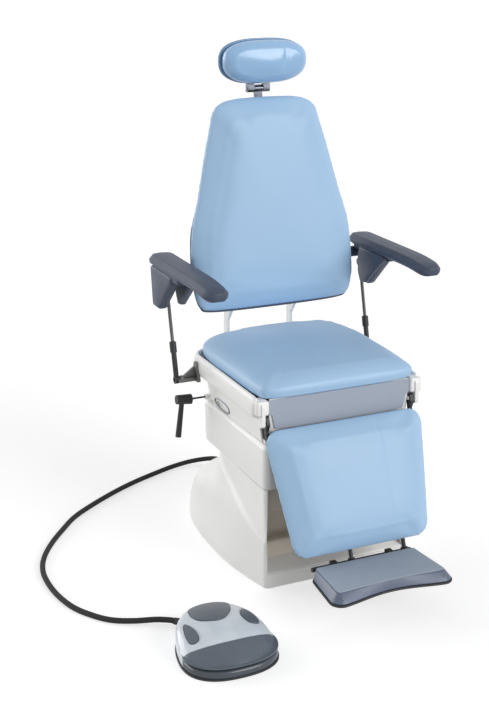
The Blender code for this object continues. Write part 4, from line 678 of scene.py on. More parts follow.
def facing(place, shift=(0, 0, 0)):
    """A frame in which a pad lies flat with its face up, moved within its body's frame."""
    return place @ Matrix.Translation(shift) @ UPRIGHT


BACK_FRAME = leaning((0, 0.146, 0.728), 9)
BACK_OUTLINE = catmull(mirrored((
    (0.0, 0.64), (0.098, 0.6365), (0.1465, 0.6245), (0.1775, 0.5965), (0.1895, 0.556), (0.2138, 0.467),
    (0.2419, 0.353), (0.2697, 0.251), (0.278, 0.15), (0.2738, 0.0675), (0.2572, 0.015), (0.2142, -0.004),
    (0.0, -0.008),
)), 8)
SEAT_FRAME = Matrix.Translation((0, 0, 0.588))
SEAT_OUTLINE = catmull(mirrored((
    (0.0, -0.286), (0.1408, -0.284), (0.2253, -0.274), (0.256, -0.2312), (0.262, -0.0558), (0.262, 0.1086),
    (0.2358, 0.2099), (0.1624, 0.252), (0.0, 0.262),
)), 10)
LEG_FRAME = leaning((0, -0.262, 0.525), 22)
LEG_OUTLINE = rounded(((0.264, -0.019), (-0.264, -0.019), (-0.221, -0.405), (0.221, -0.405)), 0.052)
HEAD_HALF, HEAD_TALL = 0.139, 0.133
HEAD_FRAME = facing(Matrix.Translation((0, 0.30424, 1.36914)), (0, -0.024, 0.017 + HEAD_TALL / 2))
HEAD_OUTLINE = [  # a long bean, drawn in below
    Vector((x * (1 - 0.075 * max(0.0, -2 * y / HEAD_TALL) ** 1.5), y))
    for x, y in superellipse(HEAD_HALF, HEAD_TALL / 2, 2.8, 160)
]
FOOT_FRAME = leaning((0, -0.41475, 0.11863), 1)


# Cushions

SLIM = 0.003  # room that the form leaves for the swell
CROWN = (0.975, 0.945, 0.91, 0.86, 0.78, 0.66, 0.52, 0.36, 0.18, 0.05)
RIDGE, RIDGE_AT, RIDGE_WIDE = 0.002, 0.955, 0.035
PRESSURE, FRAMES, CALM_PASSES, CALM_SHARE = 4.0, 20, 16, 0.85
HELD = 0.14  # share of the side's height that rests on the board
SEAM_DEPTH, SEAM_WIDE = 0.0016, 0.0035


def pad_form(outline, place, side, crown, roll, draw, belly, ease):
    """A padded form: drawn-in foot, sloping border, soft ridge and a crown."""
    foot = ((1, 0.0), (0.55, 0.08), (0.2, 0.22), (0, belly))
    steps = [(draw * in_share, side * up, 0) for in_share, up in foot]
    for k, (c, s) in enumerate(quarter(8)[1:], 1):
        across = 0.55 * (1 - c) + 0.45 * k / 8
        up = belly + (1 - belly) * (0.55 * s + 0.45 * k / 8)
        steps.append((roll * across, side * up, ease * k // 9))
    rings = [level(eased(inset(outline, d), soft), h, place) for d, h, soft in steps]
    rim = eased(inset(outline, roll), ease)
    centre = centre_of(rim)
    for share in CROWN:
        height = side + crown * (1 - share * share)
        height += RIDGE * math.exp(-(((share - RIDGE_AT) / RIDGE_WIDE) ** 2))
        rings.append(level([centre.lerp(p, share) for p in rim], height, place))
    return loft(rings)


def vectors(items, name):
    """A vector attribute of a mesh's items, as rows."""
    flat = np.empty(len(items) * 3, np.float32)
    items.foreach_get(name, flat)
    return flat.reshape(-1, 3).astype(float)


def put_back(mesh, points):
    mesh.vertices.foreach_set("co", points.astype(np.float32).ravel())
    mesh.update()


def within(place, points):
    """The points in a frame's own coordinates."""
    return (np.c_[points, np.ones(len(points))] @ np.array(place.inverted()).T)[:, :3]


def calmed(mesh, move):
    """A field of moves evened out over the mesh: the broad swelling stays and the puckers go."""
    ends = np.empty(len(mesh.edges) * 2, np.int32)
    mesh.edges.foreach_get("vertices", ends)
    first, second = ends.reshape(-1, 2).T
    count = len(move)
    links = np.bincount(first, minlength=count) + np.bincount(second, minlength=count)
    for _ in range(CALM_PASSES):
        around = [
            np.bincount(first, move[second, k], count) + np.bincount(second, move[first, k], count)
            for k in range(3)
        ]
        move = (move + np.stack(around, axis=1)) / (1 + links)[:, None]
    return move


def swollen(made, place, voxel, held_height):
    """Puffs a pad with cloth under pressure; its underside stays where it rests."""
    modified(made, "REMESH", mode="VOXEL", voxel_size=voxel)
    settle(modified(made, "SMOOTH", factor=0.5, iterations=6))
    rest = vectors(made.data.vertices, "co")
    held = made.vertex_groups.new(name="held")
    held.add(np.nonzero(within(place, rest)[:, 2] < held_height)[0].tolist(), 1.0, "REPLACE")
    cloth = made.modifiers.new("swell", "CLOTH")
    cloth.settings.use_pressure = True
    cloth.settings.uniform_pressure_force = PRESSURE
    cloth.settings.effector_weights.gravity = 0
    cloth.settings.vertex_group_mass = "held"
    cloth.settings.quality = 3
    cloth.collision_settings.use_collision = False
    cloth.point_cache.frame_start = 1
    cloth.point_cache.frame_end = FRAMES
    for moment in range(1, FRAMES + 1):
        bpy.context.scene.frame_set(moment)
    graph = bpy.context.evaluated_depsgraph_get()
    move = vectors(made.evaluated_get(graph).data.vertices, "co") - rest
    made.modifiers.clear()
    made.vertex_groups.clear()
    bpy.context.scene.frame_set(1)
    most = chosen("upholstery").swell
    far = np.linalg.norm(move, axis=1, keepdims=True)
    move *= most * np.tanh(far / most) / np.maximum(far, 1e-9)
    put_back(made.data, rest + (1 - CALM_SHARE) * move + CALM_SHARE * calmed(made.data, move))
    return made


def cushion(
    name, body, node, outline, place, finish="cushion_vinyl", slot="upholstery", *, side, crown, roll,
    draw=0.01, belly=0.36, ease=44, seam=0.2, voxel=0.006, count=160, creases=(),
):
    """One upholstered pad: form, swell, edge seam and creases, fine mesh."""
    outline = spaced(outline, count)
    form = pad_form(inset(outline, SLIM), place, side, crown, roll, draw, belly, ease)
    made = swollen(object_from(name, form), place, voxel, side * HELD)
    points = vectors(made.data.vertices, "co")
    local = within(place, points)
    away = np.min([np.linalg.norm(local[:, :2] - np.array(p), axis=1) for p in outline], axis=0)
    # Weights on the rolled border, where the finish paints a highlight and lowers the roughness as polish from
    # use.
    wear_and_highlight = made.data.attributes.new("edge", "FLOAT", "POINT")
    wear_and_highlight.data.foreach_set("value", np.exp(-((away / roll - 0.6) ** 2) * 4).astype(np.float32))
    push = -SEAM_DEPTH * np.exp(-(((local[:, 2] - side * seam) / SEAM_WIDE) ** 2)) * (away < roll * 0.5)
    for crease in creases:
        push += crease(local)
    put_back(made.data, points + vectors(made.data.vertex_normals, "vector") * push[:, None])
    dress(refined(made), finish, body, slot, node, angle=80)


def long_crease(at, low, high, depth, width):
    """A shallow straight crease up the pad's face at one place across it."""

    def push(local):
        along = np.clip((local[:, 1] - low) / 0.05, 0, 1) * np.clip((high - local[:, 1]) / 0.03, 0, 1)
        return -depth * (local[:, 2] > 0.03) * along * np.exp(-(((local[:, 0] - at) / width) ** 2))

    return push


def slant_crease(start, end, depth, width):
    """A soft pull in the cover along a line across the pad's face."""
    start = np.array(start)
    way = np.array(end) - start

    def push(local):
        t = np.clip(((local[:, :2] - start) @ way) / (way @ way), 0, 1)
        gap = np.linalg.norm(local[:, :2] - (start + t[:, None] * way), axis=1)
        swell = np.sin(np.pi * np.clip(t, 0.02, 0.98))
        return -depth * swell * (local[:, 2] > 0.02) * np.exp(-((gap / width) ** 2))

    return push


class ChairOperator(bpy.types.Operator):
    """Shared by the chair's build steps."""

    bl_options = {"REGISTER", "UNDO"}
    bl_idname = "exam_chair.step"
    bl_label = "Build step"


class CordOperator(ChairOperator):
    """Lay the foot control's cord from the base to the control, with its gland and relief"""

    bl_idname = "exam_chair.cord"
    bl_label = "Cord"

    GLAND = (-0.01, 0.472, 0.046)
    FLANGE = ((0, -0.016), (0.021, -0.016), (0.021, 0.003), (0.0195, 0.0045))
    START = (-0.01, 0.4983, 0.046)
    RELIEF = ((-0.52, -0.392, 0.022), (-0.552, -0.356, 0.0195))
    TOUCH = 0.0003
    ROUTE = (
        (-0.01, 0.56, 0.046), (-0.022, 0.628, 0.034), (-0.08, 0.676, 0.016), (-0.155, 0.674, 0.009),
        (-0.235, 0.643, 0.0088), (-0.32, 0.605, 0.0088), (-0.41, 0.555, 0.0088), (-0.51, 0.488, 0.0088),
        (-0.598, 0.418, 0.0088), (-0.664, 0.34, 0.0088), (-0.718, 0.268, 0.0088), (-0.762, 0.195, 0.0088),
        (-0.79, 0.125, 0.0088), (-0.803, 0.05, 0.0088), (-0.801, -0.05, 0.0088), (-0.781, -0.145, 0.0088),
        (-0.746, -0.212, 0.0088), (-0.704, -0.262, 0.009), (-0.65, -0.295, 0.011), (-0.596, -0.32, 0.0155),
    )
    GROOVE = 0.0013
    WAIST = 0.94  # the cord's radius between its ribs, as a share

    def boot(self, start, length, wide, narrow, ribs):
        """Profile of a ribbed, tapering rubber boot."""
        profile = [(0, start), (wide, start)]
        step = length / ribs
        for k in range(ribs):
            radius = wide + (narrow - wide) * (k + 0.5) / ribs
            at = start + length * (k + 0.25) / ribs
            profile += [(radius, at), (radius, at + step * 0.4)]
            profile += [(radius - self.GROOVE, at + step * 0.5), (radius - self.GROOVE, at + step * 0.7)]
        return profile + [(narrow, start + length), (0, start + length)]

    def execute(self, context):
        radius = chosen("control").cord
        start, inner, end = (Vector(point) for point in (self.START, *self.RELIEF))
        outward = (end - inner).normalized()
        rear = spun((*self.FLANGE, *self.boot(0.005, 0.021, 0.0155, 0.0105, 4)[1:]), self.GLAND, (0, 1, 0))
        front = spun(self.boot(0, (end - inner).length, 0.0125, 0.0098, 6), inner, outward)
        gland = piece("cord_boot_rear", rear, "rim_rubber", "base", "dark_plastic", "cord_gland")
        relief = piece("cord_boot_front", front, "rim_rubber", "base", "dark_plastic", "cord_relief")

        end += outward * self.TOUCH
        route = [start, start + Vector((0, 2 * radius, 0)), *self.ROUTE, end + outward * 2 * radius, end]
        line = catmull(route, 12, closed=False)
        points = spaced(line, int(length_of(line) / chosen("control").rib) * 2 + 1, closed=False)
        curve = bpy.data.curves.new("control_cord_run", "CURVE")
        curve.dimensions = "3D"
        curve.bevel_depth = radius
        curve.bevel_resolution = 4
        curve.use_fill_caps = True
        spline = curve.splines.new("POLY")
        spline.points.add(len(points) - 1)
        for i, (point, position) in enumerate(zip(spline.points, points)):
            point.co = (*position, 1)
            point.radius = 1.0 if i % 2 else self.WAIST
        spline.use_smooth = True
        cord = bpy.data.objects.new("control_cord_run", curve)
        context.scene.collection.objects.link(cord)
        dress(cord, "cord_rubber", "base", "cord_rubber", "control_cord")
        length_of(points)
        return {"FINISHED"}


class CushionsOperator(ChairOperator):
    """Upholster the seat, back, leg rest and headrest"""

    bl_idname = "exam_chair.cushions"
    bl_label = "Cushions"

    def execute(self, context):
        cushion(
            "back_cushion", "back", "back_pad", BACK_OUTLINE, facing(BACK_FRAME, (0, 0.024, 0)),
            side=0.042, crown=0.012, roll=0.04, draw=0.004, belly=0.3, count=200,
            creases=(slant_crease((-0.2, 0.1), (0.19, 0.075), 0.0025, 0.03),),
        )
        cushion(
            "seat_cushion", "seat", "seat_pad", SEAT_OUTLINE, SEAT_FRAME,
            side=0.051, crown=0.013, roll=0.034, belly=0.55, ease=16, count=200,
        )
        cushion(
            "leg_cushion", "leg", "leg_pad", LEG_OUTLINE, facing(LEG_FRAME, (0, -0.006, 0)),
            side=0.043, crown=0.007, roll=0.048, belly=0.18, voxel=0.005,
            creases=(long_crease(0.084, -0.34, -0.03, 0.0014, 0.004),),
        )
        cushion(
            "head_cushion", "head", "head_pad", HEAD_OUTLINE, HEAD_FRAME, "head_vinyl", "gloss_upholstery",
            side=0.056, crown=0.012, roll=0.021, draw=0.014, belly=0.55, seam=0.16, voxel=0.004,
            creases=(slant_crease((0.062, 0.052), (0.046, -0.03), 0.003, 0.009),),
        )
        return {"FINISHED"}


class SeatTrimOperator(ChairOperator):
    """Hang the grey flap under the seat's front and roll the white lip round the cushion"""

    bl_idname = "exam_chair.seat_trim"
    bl_label = "Seat trim"

    LIP = (
        (-0.026, 0.527), (-0.01, 0.529), (-0.002, 0.533), (0.002, 0.54), (0.0034, 0.55), (0.0037, 0.561),
        (0.003, 0.573), (0.001, 0.584), (-0.0028, 0.5915), (-0.0078, 0.595), (-0.0122, 0.5928),
        (-0.0145, 0.587), (-0.0145, 0.577), (-0.026, 0.577),
    )
    LIP_OUT, LIP_FRONT, LIP_LONG = 0.266, -0.252, 0.418
    LIP_RADIUS, LIP_TURN = 0.055, 0.1695
    CORNER = ((0.2268, -0.2735, 0.5435), (0.2655, -0.226, 0.5868))
    BOARD = ((-0.228, -0.232, 0.5737), (0.228, 0.196, 0.5877))
    FLAP_HALF, FLAP_BOW, FLAP_NOTCH = 0.2262, 0.01, 0.04

    def lip(self):
        """Rings of the lip's profile along the right side and round the rear corner."""
        profile = [Vector(point) for point in self.LIP]
        radius = self.LIP_RADIUS
        path = [Vector((self.LIP_OUT, self.LIP_FRONT + self.LIP_LONG * k / 24)) for k in range(25)]
        for c, s in quarter(14)[1:]:
            path.append(Vector((self.LIP_OUT - radius + radius * c, self.LIP_TURN + radius * s)))
        rings = []
        for i, point in enumerate(path):
            along = path[min(i + 1, len(path) - 1)] - path[max(i - 1, 0)]
            out = Vector((along.y, -along.x)).normalized()
            ring = profile if i else [centre_of(profile).lerp(p, 0.86) for p in profile]
            rings.append([Vector((*(point + out * a), z)) for a, z in ring])
        front = [p - Vector((0, 0.004, 0)) for p in rings[0]]
        return [[centre_of(front).lerp(p, 0.6) for p in front]] + rings

    def flap(self):
        """A thin sheet, notched at its lower corners."""
        low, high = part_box("front_apron")
        across = [2 * k / 48 - 1 for k in range(49)]
        outline = [(self.FLAP_HALF * share, high.z) for share in across]
        for share in reversed(across):
            notch = self.FLAP_NOTCH if abs(share) > 0.95 else 0
            outline.append((self.FLAP_HALF * share, low.z + self.FLAP_BOW * abs(share) ** 6 + notch))
        return loft([[Vector((x, y, z)) for x, z in outline] for y in (low.y, high.y)])

    def execute(self, context):
        piece("seat_flap", self.flap(), "flap_vinyl", "seat", "apron", "front_apron", edge=(0.0014,))
        lip = self.lip()
        for word, side in SIDES:
            piece("seat_lip_" + word, loft(sided(lip, side)), *SEAT_WHITE, angle=50)
            cap = soft_edges(block(*sided([self.CORNER], side)[0]), 0.007, 4)
            piece("seat_corner_" + word, cap, *SEAT_WHITE, angle=50)
        board = soft_edges(block(*self.BOARD), 0.002, 2)
        piece("seat_ply", board, "plywood", "seat", "plywood", "seat_board")
        return {"FINISHED"}


class CoversOperator(ChairOperator):
    """Mould the white covers of the base, the lift and the seat"""

    bl_idname = "exam_chair.covers"
    bl_label = "Covers"

    FRONT_HALF, FRONT, CORNER, OVAL = 0.236, -0.266, 0.018, 2 / 2.8
    BOTTOM, TOP = 0.002, 0.311
    STATIONS = (  # height, half width in the middle, rear
        (BOTTOM, 0.271, 0.472), (0.036, 0.271, 0.472), (0.081, 0.2685, 0.4547), (0.1305, 0.2642, 0.4127),
        (0.18, 0.2549, 0.3337), (0.225, 0.243, 0.232), (0.262, 0.2375, 0.196), (TOP, 0.236, 0.179),
    )
    WALL, ROOF = 0.006, 0.005
    CREASE = (Vector((0.132, 0.308)), Vector((-0.266, 0.147)))  # of the base's side
    CREASE_DEPTH, CREASE_FADE, CREASE_STEP, CREASE_RUN_OUT = 0.007, 0.06, 0.007, 0.15
    RECESS_HALF, RECESS_BACK, SILL = 0.2265, -0.166, 0.045
    LINER = (  # rear panel, lower and upper step: front, rear, bottom, top, edge and its segments
        (-0.171, -0.1662, SILL, 0.309, 0.001, 1), (-0.205, -0.168, SILL, 0.122, 0.007, 3),
        (-0.228, -0.168, 0.228, 0.309, 0.005, 3),
    )
    SILL_SLOPE = ((-0.262, 0.044), (-0.204, 0.044), (-0.204, 0.068), (-0.262, 0.0475))
    LIFT_HALF, LIFT_FRONT, LIFT_RADIUS = 0.238, -0.268, 0.022
    LIFT_STEPS = (  # inset, height, rear
        (0.003, 0.3145, 0.18), (0.0006, 0.3157, 0.181), (0.0, 0.318, 0.182), (0.0, 0.38, 0.187),
        (0.0, 0.43, 0.1905), (0.003, 0.439, 0.19), (0.0095, 0.4445, 0.189),
    )
    LIFT_HOLLOWS = (
        ((-0.225, -0.25, 0.2), (0.225, 0.165, 0.44)), ((-0.19, -0.2, 0.43), (0.19, 0.13, 0.5)),
    )
    SLOT_PANEL = ((-0.2215, 0.004, 0.444), (-0.2175, 0.108, 0.472))
    SLOT_CENTRE, SLOT_HALF, SLOT_SLOPE = (-0.2292, 0.056, 0.4615), (0.054, 0.0145), 0.15
    SLOT_RIM = 0.0023

    def plan(self, z, middle, rear, wall):
        """One height's outline: straight front, rounded corners, long oval rear."""
        wide, front, corner = self.FRONT_HALF - wall, self.FRONT + wall, self.CORNER
        middle, rear, start = middle - wall, rear - wall, front + corner
        half = [(0.0, front), (wide * 0.5, front)]
        half += [(wide - corner + corner * s, start - corner * c) for c, s in quarter(8)]
        for k, (_, s) in enumerate(quarter(22)[1:], 1):
            half.append((wide + (middle - wide) * s, start - start * k / 22))
        half += [(middle * c ** self.OVAL, rear * s ** self.OVAL) for c, s in quarter(40)[1:-1]]
        return level(mirrored(half + [(0.0, rear)]), z)

    def creased(self, point):
        """Presses a soft slanting step into the side of the base."""
        start, end = self.CREASE
        along = (end - start).normalized()
        here = Vector((point.y, point.z)) - start
        below = here.dot(Vector((along.y, -along.x)))
        share = here.dot(along) / (end - start).length
        if abs(point.x) < 0.19 or not -self.CREASE_RUN_OUT < share < 1.02:
            return point
        fall = math.exp(-below / self.CREASE_FADE if below > 0 else -((below / self.CREASE_STEP) ** 2))
        ends = clamped((share + self.CREASE_RUN_OUT) / 0.25)
        point.x -= math.copysign(self.CREASE_DEPTH * fall * ends, point.x)
        return point

    def shell(self, wall, bottom, top):
        rings = [self.plan(*station, wall) for station in self.STATIONS]
        columns = [catmull(column, 9, closed=False) for column in zip(*rings)]
        tall = [[self.creased(point) for point in ring] for ring in zip(*columns)]
        for ring, z in ((tall[0], bottom), (tall[-1], top)):
            for point in ring:
                point.z = z
        return loft(tall)

    def base(self, edge):
        wide, rear = self.RECESS_HALF, self.RECESS_BACK
        hollow = object_from("hollow", self.shell(self.WALL, -0.05, self.TOP - self.ROOF))
        carve(hollow, [block((-wide - 0.02, -0.4, self.SILL - 0.004), (wide + 0.02, rear + 0.004, 0.4))])
        recess = soft_edges(block((-wide, -0.4, self.SILL), (wide, rear, 0.4)), 0.005)
        column = spun(rod(0.126, -0.2, 0.2), (0, 0, self.TOP), (0, 0, 1), 64)
        gland = spun(rod(0.0215, -0.06, 0.06), CordOperator.GLAND, (0, 1, 0))
        piece(
            "base_moulding", self.shell(0.0, self.BOTTOM, self.TOP), *BASE_WHITE, "base_cover", angle=45,
            cut=[recess, hollow, column, gland], edge=(edge, 3, 50),
        )

        inside = wide - 0.0008
        liner = [
            soft_edges(block((-inside, front, low), (inside, back, high)), *softness)
            for front, back, low, high, *softness in self.LINER
        ]
        piece("recess_liner", joined(*liner), "recess_plastic", "base", "grey_plastic")
        sill = loft([slice_at(x, self.SILL_SLOPE) for x in (-inside, inside)])
        piece("recess_sill", soft_edges(sill, 0.002), *BASE_WHITE)

    def lift(self):
        wide, front = self.LIFT_HALF, self.LIFT_FRONT
        rings = []
        for shrink, z, rear in self.LIFT_STEPS:
            plan = ((wide, front), (-wide, front), (-wide, rear), (wide, rear))
            rings.append(level(inset(rounded(plan, self.LIFT_RADIUS, 8), shrink), z))
        hollows = [block(*hollow) for hollow in self.LIFT_HOLLOWS]
        piece("lift_moulding", loft(rings), *SEAT_WHITE, "upper_cover", angle=40, cut=hollows)

    def slot(self):
        """The panel behind the lever's slot, and the steel rim round the slot."""
        piece("slot_panel", soft_edges(block(*self.SLOT_PANEL), 0.001, 1), *SEAT_WHITE)
        x, y, z = self.SLOT_CENTRE
        rings = []
        for k in range(11):
            across, out = (self.SLOT_RIM * turn(math.tau * k / 10) for turn in (math.cos, math.sin))
            oval = inset(superellipse(*self.SLOT_HALF, 2.4, 72), across)
            rings.append([Vector((x - self.SLOT_SLOPE * v - out, y + u, z + v)) for u, v in oval])
        piece("slot_rim", loft(rings, close=False), "satin_steel", "seat", "steel")

    def execute(self, context):
        edge = chosen("covers").edge
        self.base(edge)
        self.lift()
        self.slot()
        piece("seat_moulding", copied("seat_tub"), *SEAT_WHITE, "seat_tub", angle=38, edge=(edge * 0.8, 3, 38))
        return {"FINISHED"}


class ArmsOperator(ChairOperator):
    """Shape the armrests with their gussets and axle collars"""

    bl_idname = "exam_chair.arms"
    bl_label = "Armrests"

    MIDDLE = 0.3405
    REAR, FRONT = 0.275, -0.19
    TOP, BOTTOM = 0.9045, 0.869
    END = 0.085  # share of the length that each rounded end takes
    WIDE, TAPER = 0.044, 0.0045
    DROOP, DROOP_FROM = 0.012, 0.7
    SECTION = (
        (0.0, 1.0), (0.68, 0.9), (1.0, 0.1), (0.97, -0.45), (0.7, -1.0), (-0.7, -1.0), (-0.97, -0.45),
        (-1.0, 0.1), (-0.68, 0.9),
    )
    GUSSET = ((0.27, 0.8685), (0.072, 0.8685), (0.203, 0.742), (0.254, 0.742))
    GUSSET_STEPS = (
        (0.3446, 0.004), (0.3462, 0.0012), (0.35, 0.0), (0.364, 0.0), (0.369, 0.0016), (0.3728, 0.005),
        (0.3745, 0.01),
    )
    CHEEK = (
        (0.192, 0.8725), (0.028, 0.8725), (0.112, 0.799), (0.15, 0.764), (0.182, 0.759), (0.199, 0.79),
        (0.202, 0.846),
    )
    CHEEK_STEPS = ((0.303, 0.006), (0.3042, 0.0022), (0.3066, 0.0), (0.317, 0.0), (0.3185, 0.0018))
    PLATE = ((0.37, 0.265), (0.318, 0.265), (0.318, 0.04), (0.37, 0.04))
    PLATE_STEPS = ((0.004, 0.8535), (0.001, 0.8545), (0.0, 0.8565), (0.0, 0.8695))
    BOSS = ((0, 0), (0.0152, 0), (0.017, 0.0018), (0.017, 0.045), (0, 0.045))
    BOSS_PLACE = (0.302, 0.26, 0.84)
    PIN = ((0, 0), (0.0042, 0), (0.005, 0.0008), (0.005, 0.022), (0, 0.022))
    PIN_PLACE = (0.3245, 0.235, 0.81)
    COLLAR = (
        (0.0102, 0), (0.019, 0), (0.0215, 0.003), (0.0215, 0.01), (0.019, 0.0135), (0.0102, 0.0135),
        (0.0102, 0),
    )
    COLLAR_PLACE = (0.2855, 0.26, 0.84)

    def pad(self):
        """Rings of the pad's section, drawn in to round ends."""
        ends = [(1 - c) * self.END for c, _ in quarter(9)[1:-1]]
        body = [self.END + (1 - 2 * self.END) * k / 14 for k in range(15)]
        section = rounded(self.SECTION, 0.16, 4, 3)
        rings = []
        for t in ends + body + [1 - end for end in reversed(ends)]:
            y = self.REAR + (self.FRONT - self.REAR) * t
            near = 1 - min(1.0, min(t, 1 - t) / self.END)
            shrink = math.sqrt(max(0.0, 1 - near * near))
            wide = (self.WIDE - self.TAPER * t) * (0.2 + 0.8 * shrink)
            tall = (self.TOP - self.BOTTOM) * (0.5 + 0.5 * shrink)
            droop = self.DROOP * max(0.0, (t - self.DROOP_FROM) / (1 - self.DROOP_FROM)) ** 2
            middle = (self.TOP + self.BOTTOM) / 2 - droop
            rings.append([Vector((self.MIDDLE + u * wide, y, middle + v * tall / 2)) for u, v in section])
        return rings

    @staticmethod
    def web(corners, radius, steps):
        """A moulded web under an armrest, from steps of (place across, inset)."""
        outline = spaced(rounded(corners, radius, 8), 72)
        return [slice_at(x, inset(outline, d)) for x, d in steps]

    def execute(self, context):
        plate = spaced(rounded(self.PLATE, 0.018, 8), 64)
        plate = [level(inset(plate, d), z) for d, z in self.PLATE_STEPS]
        for word, side in SIDES:
            body = "arm_" + word
            outward = (side, 0, 0)

            def turned(profile, place, steps):
                return spun(profile, (side * place[0], *place[1:]), outward, steps)

            pad = refined(object_from("armrest_" + word, loft(sided(self.pad(), side))))
            dress(pad, "slate_foam", body, "slate_plastic", "arm_pad_" + word, angle=70)
            bracket = joined(
                loft(sided(self.web(self.GUSSET, 0.013, self.GUSSET_STEPS), side)), loft(sided(plate, side)),
                turned(self.BOSS, self.BOSS_PLACE, 36), turned(self.PIN, self.PIN_PLACE, 24),
            )
            node = "arm_carrier_" + word
            piece("armrest_bracket_" + word, bracket, "slate_foam", body, "slate_plastic", node, angle=50)
            cheek = loft(sided(self.web(self.CHEEK, 0.009, self.CHEEK_STEPS), side))
            piece("armrest_cheek_" + word, cheek, "shell_plastic", body, "slate_plastic", angle=50)
            collar = turned(self.COLLAR, self.COLLAR_PLACE, 36)
            piece("axle_collar_" + word, collar, "rim_rubber", "back", "dark_plastic")
        return {"FINISHED"}


class LinksOperator(ChairOperator):
    """Build the armrest links, their sleeves and the cast brackets on the seat"""

    bl_idname = "exam_chair.links"
    bl_label = "Links"

    LUG = ((0.13, 0.5165), (0.183, 0.5165), (0.165, 0.577), (0.149, 0.577))
    LUG_STEPS = ((0.2668, 0.006), (0.2742, 0.006), (0.276, 0.005))
    BAR_SIZE, BAR_PLACE = (0.062, 0.03, 0.012), (0.299, 0.165, 0.5235)
    WEB = ((0.275, 0.527), (0.322, 0.527), (0.275, 0.562))
    WEB_STEPS = (0.161, 0.1615, 0.1685, 0.169)
    EYE = ((0, 0), (0.0105, 0), (0.0118, 0.0015), (0.0118, 0.0085), (0.0105, 0.01), (0, 0.01))
    EYE_PLACE = (0.312, 0.165, 0.525)

    def execute(self, context):
        lug = [slice_at(x, rounded(self.LUG, radius, 4)) for x, radius in self.LUG_STEPS]
        web = [[Vector((x, y, z)) for x, z in self.WEB] for y in self.WEB_STEPS]
        for word, side in SIDES:
            bar_place, eye_place = sided([(self.BAR_PLACE, self.EYE_PLACE)], side)[0]
            bar = soft_edges(block((-0.5, -0.5, -0.5), (0.5, 0.5, 0.5)), 0.08, 2)
            bmesh.ops.scale(bar, vec=self.BAR_SIZE, verts=bar.verts)
            bmesh.ops.translate(bar, vec=bar_place, verts=bar.verts)
            casting = joined(
                loft(sided(lug, side)), bar, loft(sided(web, side)), spun(self.EYE, eye_place, (side, 0, 0), 28)
            )
            piece("link_casting_" + word, casting, "cast_grey", "seat", "black_metal", "link_bracket_" + word)
            trim("link_sleeve_" + word, "black_coat", "link_" + word, "black_metal", 0.0012)
            trim("link_rod_" + word, "rod_steel", "link_" + word, "steel", 0.0008)
        return {"FINISHED"}


class FootrestOperator(ChairOperator):
    """Build the footrest: rim, sloping body, mat and corner bolts"""

    bl_idname = "exam_chair.footrest"
    bl_label = "Footrest"

    FOOT = rounded(((0.173, -0.0135), (-0.173, -0.0135), (-0.195, -0.2), (0.195, -0.2)), 0.034, 12, 30)
    TOP = rounded(((0.161, -0.0165), (-0.161, -0.0165), (-0.172, -0.177), (0.172, -0.177)), 0.012, 12, 30)
    # Steps of (share from foot to top, inset, bow of the front edge, height)
    RIM = (
        (0, 0.004, 0.026, -0.0215), (0, 0.0005, 0.026, -0.02), (0, -0.001, 0.026, -0.0175),
        (0, 0.0, 0.026, -0.0148), (0, 0.004, 0.025, -0.0136),
    )
    BODY = (
        (0, 0.0055, 0.024, -0.0137), (0, 0.0035, 0.024, -0.0115), (0.06, 0.0035, 0.023, -0.0085),
        (0.92, 0.001, 0.011, 0.01), (1, 0.0008, 0.01, 0.0116), (1, 0.0022, 0.009, 0.0123),
    )
    MAT = (
        (1, 0.004, 0.009, 0.0118), (1, 0.0028, 0.009, 0.013), (1, 0.0028, 0.009, 0.0142),
        (1, 0.0042, 0.009, 0.0153),
    )
    CLIP_END = (0, -0.034, 0)
    BOLTS, BOLT_AXIS = ((-0.16, -0.187, -0.0008), (0.16, -0.187, -0.0008)), (0, -0.72, 0.69)
    BOLT = (  # profile of a socket head on its washer
        (0, 0.00144), (0.0021, 0.00144), (0.0021, 0.0032), (0.003444, 0.0032), (0.0042, 0.0024), (0.0042, 0),
        (0.00567, 0), (0.00567, -0.00064), (0, -0.00064),
    )

    def outline(self, share, shrink, bow):
        """The footrest's plan between its foot (0) and its top (1), its front edge bowed inwards."""
        bowed = []
        for x, y in inset([a.lerp(b, share) for a, b in zip(self.FOOT, self.TOP)], shrink):
            front = clamped((-y - 0.1) / 0.08)
            bowed.append(Vector((x, y + bow * front * math.cos(min(1.0, abs(x) / 0.165) * math.pi / 2) ** 1.5)))
        return bowed

    def stack(self, steps):
        return loft([level(self.outline(*plan), z, FOOT_FRAME) for *plan, z in steps])

    def execute(self, context):
        clips = copied("foot_rim")
        bmesh.ops.bisect_plane(
            clips, geom=clips.verts[:] + clips.edges[:] + clips.faces[:], plane_no=(0, -1, 0),
            plane_co=FOOT_FRAME @ Vector(self.CLIP_END), clear_outer=True,
        )
        bmesh.ops.holes_fill(clips, edges=clips.edges, sides=0)
        rim = joined(self.stack(self.RIM), clips)
        piece("footrest_rim", rim, "rim_rubber", "foot", "dark_plastic", "foot_rim")
        body = self.stack(self.BODY)
        piece("footrest_body", body, "footrest_plastic", "foot", "slate_plastic", "foot_body", angle=25)
        piece("footrest_mat", self.stack(self.MAT), "foot_mat", "foot", "light_mat", "foot_mat")
        bolts = [spun(self.BOLT, FOOT_FRAME @ Vector(place), self.BOLT_AXIS, 18) for place in self.BOLTS]
        piece("footrest_bolts", joined(*bolts), "satin_steel", "foot", "chrome")
        return {"FINISHED"}


